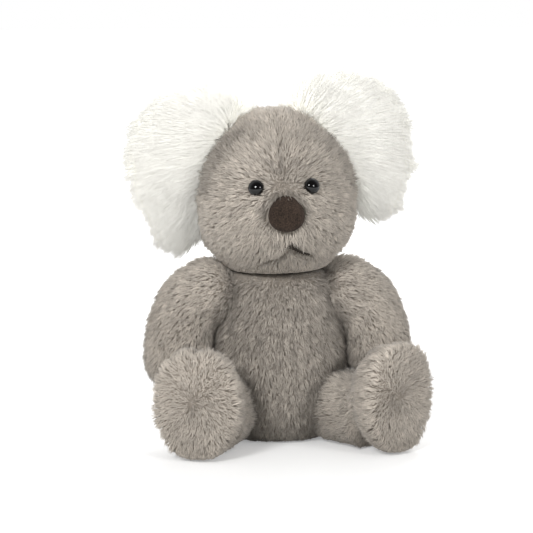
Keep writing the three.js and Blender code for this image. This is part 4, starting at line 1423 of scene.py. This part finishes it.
def face_tone(points):
    """The plain tone with each of the face's shades added."""
    local = to_head(points)
    flat = local[:, [0, 2]]
    aside, rise = flat.T
    bridge = np.linalg.norm(flat - NAP_ORIGIN[[0, 2]], axis=1) / BRIDGE_TONE_REACH
    tone = PLAIN_TONE + BRIDGE_TONE * np.exp(-(bridge**2))
    tone += JOWL_TONE * (1 - eased(rise, *JOWL_FADE))
    tone += NOSE_TONE * (1 - eased(nose_share(flat), *NOSE_TONE_SHARES)) * eased(rise, *NOSE_TONE_START)
    parting = np.exp(-(((aside - FACE_SHIFT) / PARTING_TONE_WIDTH) ** 2)) * eased(rise, *PARTING_START)
    tone += PARTING_TONE * parting * (1 - eased(rise, *PARTING_END))
    distance, below = from_mouth(local)
    under = below * np.exp(-((distance / MOUTH_TONE_REACH) ** 2))
    tone += MOUTH_TONE * under * (1 - MOUTH_TONE_LOSS * eased(aside, *MOUTH_TONE_FADE))
    tone += CROWN_TONE * eased(rise, *CROWN_START)
    return tone - side_shade(local)


print("tone on the forehead:", np.round(face_tone(forehead), 2).tolist())

# %% [markdown]
# Behind the ears the pile lies back and down. It falls down the belly and the back, runs along the arms to
# the paws, and lies back from each sole over the foot.

# %% Nap of the other panels
NAPE_SPREAD = np.array([0.6, 0.8, 0])
NAPE_PULL = 0.5
TORSO_PULL = 0.5
TORSO_NAP_RISE = (30 * MM, 90 * MM)
PAW_PULL = 0.35
FOOT_FALL = 0.15


def nape_nap(points, normals, step):
    """Back and down from the crown."""
    outward = to_head(points) * NAPE_SPREAD
    return unit(outward) @ head_basis * NAPE_PULL - UP


def down_nap(points, normals, step):
    """Down, and a little outwards where the torso is narrow."""
    aside = (points - torso_middle) * LEFT / torso_half[0]
    return aside * TORSO_PULL * eased(points[:, 2], *TORSO_NAP_RISE)[:, None] - UP


def paw_nap(points, normals, step):
    """Along the arm to the paw, and outwards."""
    aside = (points - torso_middle) * LEFT
    return step + unit(aside) * PAW_PULL


def foot_nap(points, normals, step):
    """Back from the sole towards the hip."""
    return -step - UP * FOOT_FALL


print("pulls of the nap:", dict(nape=NAPE_PULL, torso=TORSO_PULL, paw=PAW_PULL, foot=FOOT_FALL))

# %% [markdown]
# No pile grows where nobody could see it: a limb has none inside the torso. Where a limb lies against the
# torso, little light gets in, so the locks there are darker. A limb counts as a row of balls for this, and
# the torso as an ellipse at each height.

# %% Masks and creases
HIDDEN_DEPTH = 4 * MM
CREASE_REACH = 5 * MM
BALL_COUNT = 12
LIMB_CREASE = 0.36
# Painted shade: the belly's pile is darker overall, most of all under the chin, between the legs and along
# the limbs.
BELLY_SHADE_TONE = 0.29
CHIN_SHADE, CHIN_RISE = 0.1, (88 * MM, 106 * MM)
SEAT_SHADE, SEAT_RISE = 0.05, (5 * MM, 30 * MM)
BELLY_CREASE = 0.24


def beyond(origin, normal):
    """A mask that keeps the part of a skin on the positive side of a plane."""
    return lambda points, normals: (points - origin) @ normal > 0


def torso_halves(points):
    """Half width and half depth of the torso at the height of each place."""
    table = np.array(TORSO_SHARES[1:-1], float)
    rise = np.clip(points[..., 2] / torso_size[2], 0, 1)
    return torso_half[:2] * smooth_between(rise, table[:, 0], table[:, 1:])


def outside_torso(points):
    """Whether places lie outside the torso, or less than a small depth within it."""
    place = (points - torso_middle)[..., :2] / (torso_halves(points) - HIDDEN_DEPTH)
    return (np.linalg.norm(place, axis=-1) > 1) | (points[..., 2] > torso_size[2] - HIDDEN_DEPTH)


def free_side(origin, normal):
    """A mask for a limb: one side of a plane, where the torso doesn't hide it."""
    return lambda points, normals: ((points - origin) @ normal > 0) & outside_torso(points)


def crease(gap):
    """1 where two parts touch and less over a wider gap: a bell over the gap."""
    return np.exp(-((np.clip(gap, 0, None) / CREASE_REACH) ** 2))


def limb_balls(side):
    """Balls along an arm and along a thigh, as centres and radii."""
    places = np.linspace(0, 1, BALL_COUNT)
    centres, halves = arm_curve(side, places)
    hip, direction, across = leg_directions(side)
    thigh = hip + direction * (places * (LEG_LENGTH - FOOT_DEPTH))[:, None]
    thigh_halves = np.full(BALL_COUNT, LEG_THICKNESS / 2)
    return np.concatenate([centres, thigh]), np.concatenate([halves, thigh_halves])


ball_centres, ball_halves = (np.concatenate(parts) for parts in zip(*(limb_balls(side) for side in SIDES)))


def limb_tone(points):
    """Plain, and darker in the crease against the torso, with the gap measured level."""
    place = (points - torso_middle)[:, :2] / torso_halves(points)
    gap = (np.linalg.norm(place, axis=1) - 1) * torso_half[0]
    return PLAIN_TONE - LIMB_CREASE * crease(gap)


def belly_shade_tone(points):
    """Painted shade: darker than the rest of the toy, most of all under the chin, between the legs and along
    the limbs.
    """
    rise = points[:, 2]
    tone = BELLY_SHADE_TONE - CHIN_SHADE * eased(rise, *CHIN_RISE) - SEAT_SHADE * (1 - eased(rise, *SEAT_RISE))
    gap = (np.linalg.norm(points[:, None] - ball_centres, axis=2) - ball_halves).min(axis=1)
    return tone - BELLY_CREASE * crease(gap)


print("balls that stand for the limbs:", len(ball_halves))

# %% [markdown]
# Now the panels get their pile, the torso first. The density is the number of locks per square millimetre: as
# many as cover the cloth and still leave each panel under two hundred thousand triangles.

# %% Pile on the torso
GREY_DENSITY = 1.95

grow_pile("belly_pile", torso, GREY_DENSITY, down_nap, "torso", beyond(torso_middle, -BACK), seed=1,
          tone=belly_shade_tone)
grow_pile("back_pile", torso, GREY_DENSITY, down_nap, "torso", beyond(torso_middle, BACK), seed=2)
print("pile on the torso:", fur_count)

# %% [markdown]
# The face grows round its trim. No lock stands on a bead, under the nose or on the thread, but each is close
# enough to fall over its edge, so the trim looks bedded in the pile.

# %% Pile on the head
FACE_DENSITY = 1.66
EYE_CLEARING = 4.4 * MM
NOSE_COVER_SHARE = 0.95
MOUTH_CLEARING = 0.9 * MM


def clear_of_trim(points, normals):
    """Keeps locks off the eyes, the nose and the mouth."""
    local = to_head(points)
    kept = local[..., 1] < HEAD_SEAM_SETBACK
    for place in eye_places.values():
        across, rising, out = face_directions(place[0], place[2])
        kept &= np.linalg.norm((local - place) @ np.stack([across, rising], axis=1), axis=-1) > EYE_CLEARING
    kept &= (nose_share(local[..., [0, 2]]) > NOSE_COVER_SHARE) | (local[..., 1] > 0)
    distance, below = from_mouth(local.reshape(-1, 3))
    return kept & (distance > MOUTH_CLEARING).reshape(kept.shape)


grow_pile("face_pile", head, FACE_DENSITY, face_nap, "head", clear_of_trim, FACE_LOCK, seed=3,
          shape=face_lengths, tone=face_tone)
grow_pile("head_back_pile", head, FACE_DENSITY, nape_nap, "head", beyond(head_seam[0][0], BACK), FACE_LOCK,
          seed=4, tone=lambda roots: PLAIN_TONE - side_shade(to_head(roots)))
print("pile on the face:", fur_count["face_pile"], "and behind it:", fur_count["head_back_pile"])

# %% [markdown]
# The arms and legs are alike on both sides, so a loop dresses them. A sole is brushed out from a whorl above
# its middle, where the pile parts and is painted darker, as shade. Just behind the sole the pile lies smooth
# and has painted light that makes it paler.

# %% Pile on the arms and legs
SOLE_LENGTH_SHARE = 0.8
SOLE_FALL = 0.2
WHORL_RISE = 11.5 * MM
WHORL_SHIFT = {"right": 0, "left": -7 * MM}
# Painted shade darkens the pile round the whorl; painted light makes the leg paler at the foot's rim.
WHORL_SHADE, WHORL_REACH = -0.22, 7 * MM
SOLE_RIM_TONE, SOLE_RIM = 0.06, (10 * MM, 26 * MM)
FOOT_RIM_LIGHT, FOOT_RIM = 0.1, (LEG_LENGTH - 20 * MM, LEG_LENGTH - 12 * MM)


def dress_arm(side, number):
    """Pile on both panels of an arm."""
    shoulder, _ = joint_place(f"{side}_arm_raise")
    for part, facing in (("front", -1), ("back", 1)):
        grow_pile(f"{side}_arm_{part}_pile", arms[side], GREY_DENSITY, paw_nap, f"{side}_arm",
                  free_side(shoulder, BACK * facing), seed=10 + number * 10 + facing, tone=limb_tone)


def dress_leg(side, number):
    """Pile on both panels of a leg and on its sole."""
    hip, direction, across = leg_directions(side)
    whorl = hip + direction * LEG_LENGTH + UP * WHORL_RISE + LEFT * WHORL_SHIFT[side]

    def leg_tone(points):
        """The tone of a limb, with painted light that makes it paler towards the foot's rim."""
        return limb_tone(points) + FOOT_RIM_LIGHT * eased((points - hip) @ direction, *FOOT_RIM)

    def sole_nap(points, normals, step):
        """Away from the whorl, and a little down."""
        return unit(points - whorl) - UP * SOLE_FALL

    def sole_tone(points):
        """Plain, with painted shade in a dark bell round the whorl, and paler towards the rim."""
        reach = np.linalg.norm(points - whorl, axis=1)
        paler = SOLE_RIM_TONE * eased(reach, *SOLE_RIM)
        return PLAIN_TONE + paler + WHORL_SHADE * np.exp(-((reach / WHORL_REACH) ** 2))

    for part, facing in (("inner", -SIDES[side]), ("outer", SIDES[side])):
        grow_pile(f"{side}_leg_{part}_pile", legs[side], GREY_DENSITY, foot_nap, f"{side}_leg",
                  free_side(hip, across * facing), LEG_LOCK, seed=40 + number * 10 + facing, tone=leg_tone)
    grow_pile(f"{side}_sole_pile", soles[side], GREY_DENSITY, sole_nap, f"{side}_leg", style=SOLE_LOCK,
              seed=70 + number, shape=lambda roots: SOLE_LENGTH_SHARE, tone=sole_tone)


for number, side in enumerate(SIDES):
    dress_arm(side, number)
    dress_leg(side, number)
print("triangles of grey pile:", sum(fur_count.values()))

# %% [markdown]
# The ears have a far longer, finer pile. It grows from both faces and the edge of the pad, and it is combed
# out from the head and a little down, so its ends make the ragged, soft outline of the ears. It is white,
# with a soft shade low down beside the cheek, where little light reaches, and palest round the free edge,
# where light comes through.

# %% Long pile on the ears
EAR_DENSITY = 4.6
EAR_LENGTHS = {"front": 1.05, "back": 0.85}
EAR_FALL = 0.35
# Painted shade: the right ear's pile is a little darker than the left's, which evens out the key lamp on that
# side.
EAR_TONE = {"right": 0.38, "left": 0.55}
EAR_EDGE_TONE, EAR_EDGE = 0.9, (1 * MM, 8 * MM)
EAR_SHADE = 0.6
EAR_SHADE_ASIDE, EAR_SHADE_RISE = (48 * MM, 78 * MM), (38 * MM, 80 * MM)


def dress_ear(side, number):
    """Pile on both layers of an ear."""
    root_place = from_head(np.array([SIDES[side] * EAR_ROOT[0], HEAD_SEAM_SETBACK, EAR_ROOT[1]]))

    def ear_nap(points, normals, step):
        """Away from the place where the ear meets the head, and a little down."""
        return unit(points - root_place) - UP * EAR_FALL

    def ear_tone(points):
        """The ear's tone, with painted shade near the head and low down and painted light at its free edge.
        """
        local = to_head(points)
        inner = 1 - eased(np.abs(local[:, 0]), *EAR_SHADE_ASIDE)
        shade = inner * (1 - eased(local[:, 2], *EAR_SHADE_RISE))
        edge = 1 - eased(np.abs(local[:, 1] - HEAD_SEAM_SETBACK), *EAR_EDGE)
        return EAR_TONE[side] - EAR_SHADE * shade + (EAR_EDGE_TONE - EAR_TONE[side]) * edge * (1 - shade)

    for part, facing in (("front", -1), ("back", 1)):
        grow_pile(f"{side}_ear_{part}_pile", ears[side], EAR_DENSITY, ear_nap, f"{side}_ear",
                  beyond(head_seam[0][0], BACK * facing), WHITE_LOCK, ear_pile, "white_pile",
                  90 + number * 10 + facing, lambda roots: EAR_LENGTHS[part], ear_tone)


for number, side in enumerate(SIDES):
    dress_ear(side, number)
print("triangles of all pile:", sum(fur_count.values()), "in the largest piece:", max(fur_count.values()))

# %% [markdown]
# Under the skins lies loose fibre, pressed in by hand, so its surface is lumpy. The seat holds a flat cloth
# bag of pellets that keeps the toy upright. Nobody sees them while the toy is whole, but a part for reuse
# has its inside too.

# %% Filling and pellet bag
FIBRE_GAP = 3.5 * MM
LUMP_WAVE = 22 * MM
LUMP_HEIGHT = 0.9 * MM
BAG_GAP = 0.5 * MM

fibre_cloth = cloth_material("white_fibre", (0.85, 0.85, 0.82), yarn=500.0, depth=0.3)
bag_weave = cloth_material("bag_weave", (0.66, 0.61, 0.53), yarn=1500.0, depth=0.3)
washer_plastic, tree, shader = new_material("washer_plastic")
shader.inputs["Base Color"].default_value = (0.75, 0.75, 0.74, 1)
shader.inputs["Roughness"].default_value = 0.5


def filling_points(form, seed, coarse=3):
    """Points a little inside a skin, moved in and out by a smooth chance field. Only each coarse-th point of
    the skin's grid is used."""
    draw = np.random.default_rng(seed)
    skin, normals = form["skin"][::coarse, ::coarse], form["normals"][::coarse, ::coarse]
    flat = skin.reshape(-1, 3)
    lumps = waves(flat, LUMP_WAVE, draw).reshape(skin.shape[:2]) * LUMP_HEIGHT
    lumps[0], lumps[-1] = lumps[0].mean(), lumps[-1].mean()
    lumps[:, -1] = lumps[:, 0]
    return skin - normals * (FIBRE_GAP - lumps)[..., None]


def closed_cut(name, source, origin, normal):
    """One side of a closed mesh, shut again at the cut."""
    mesh = cut_mesh(name, source, origin, normal)
    work = bmesh.new()
    work.from_mesh(mesh)
    bmesh.ops.holes_fill(work, edges=[edge for edge in work.edges if edge.is_boundary])
    bmesh.ops.triangulate(work, faces=[face for face in work.faces if len(face.verts) > 4])
    work.to_mesh(mesh)
    work.free()
    return mesh


def filling_piece(mesh, body, node_name, material=fibre_cloth, slot="fibre"):
    """A filling that rides inside its body and stands for one solid."""
    obj = add_object(mesh.name, mesh, material, body, slot)
    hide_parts(node_name)


bag_top = np.array([0, 0, node_points("seat_bean_bag")[:, 2].max()])
torso_filling = grid_mesh("torso_filling", filling_points(torso, 201))
filling_piece(closed_cut("torso_fibre", torso_filling, bag_top + UP * BAG_GAP, UP), "torso", "body_stuffing")
filling_piece(closed_cut("pellet_bag", torso_filling, bag_top, -UP), "torso", "seat_bean_bag", bag_weave,
              "bag_cloth")
filling_piece(grid_mesh("head_fibre", filling_points(head, 202)), "head", "head_stuffing")
for side in SIDES:
    arm, leg = f"{side}_arm", f"{side}_leg"
    filling_piece(grid_mesh(f"{arm}_fibre", filling_points(arms[side], 203)), arm, f"{arm}_stuffing")
    whole = dressed(grid_of(leg_form(side), 60, 80))
    filling_piece(grid_mesh(f"{leg}_fibre", filling_points(whole, 204, 1)), leg, f"{leg}_stuffing")
    washer = frame["nodes"][f"{side}_eye_washer"].data
    washer.materials.clear()
    washer.materials.append(washer_plastic)
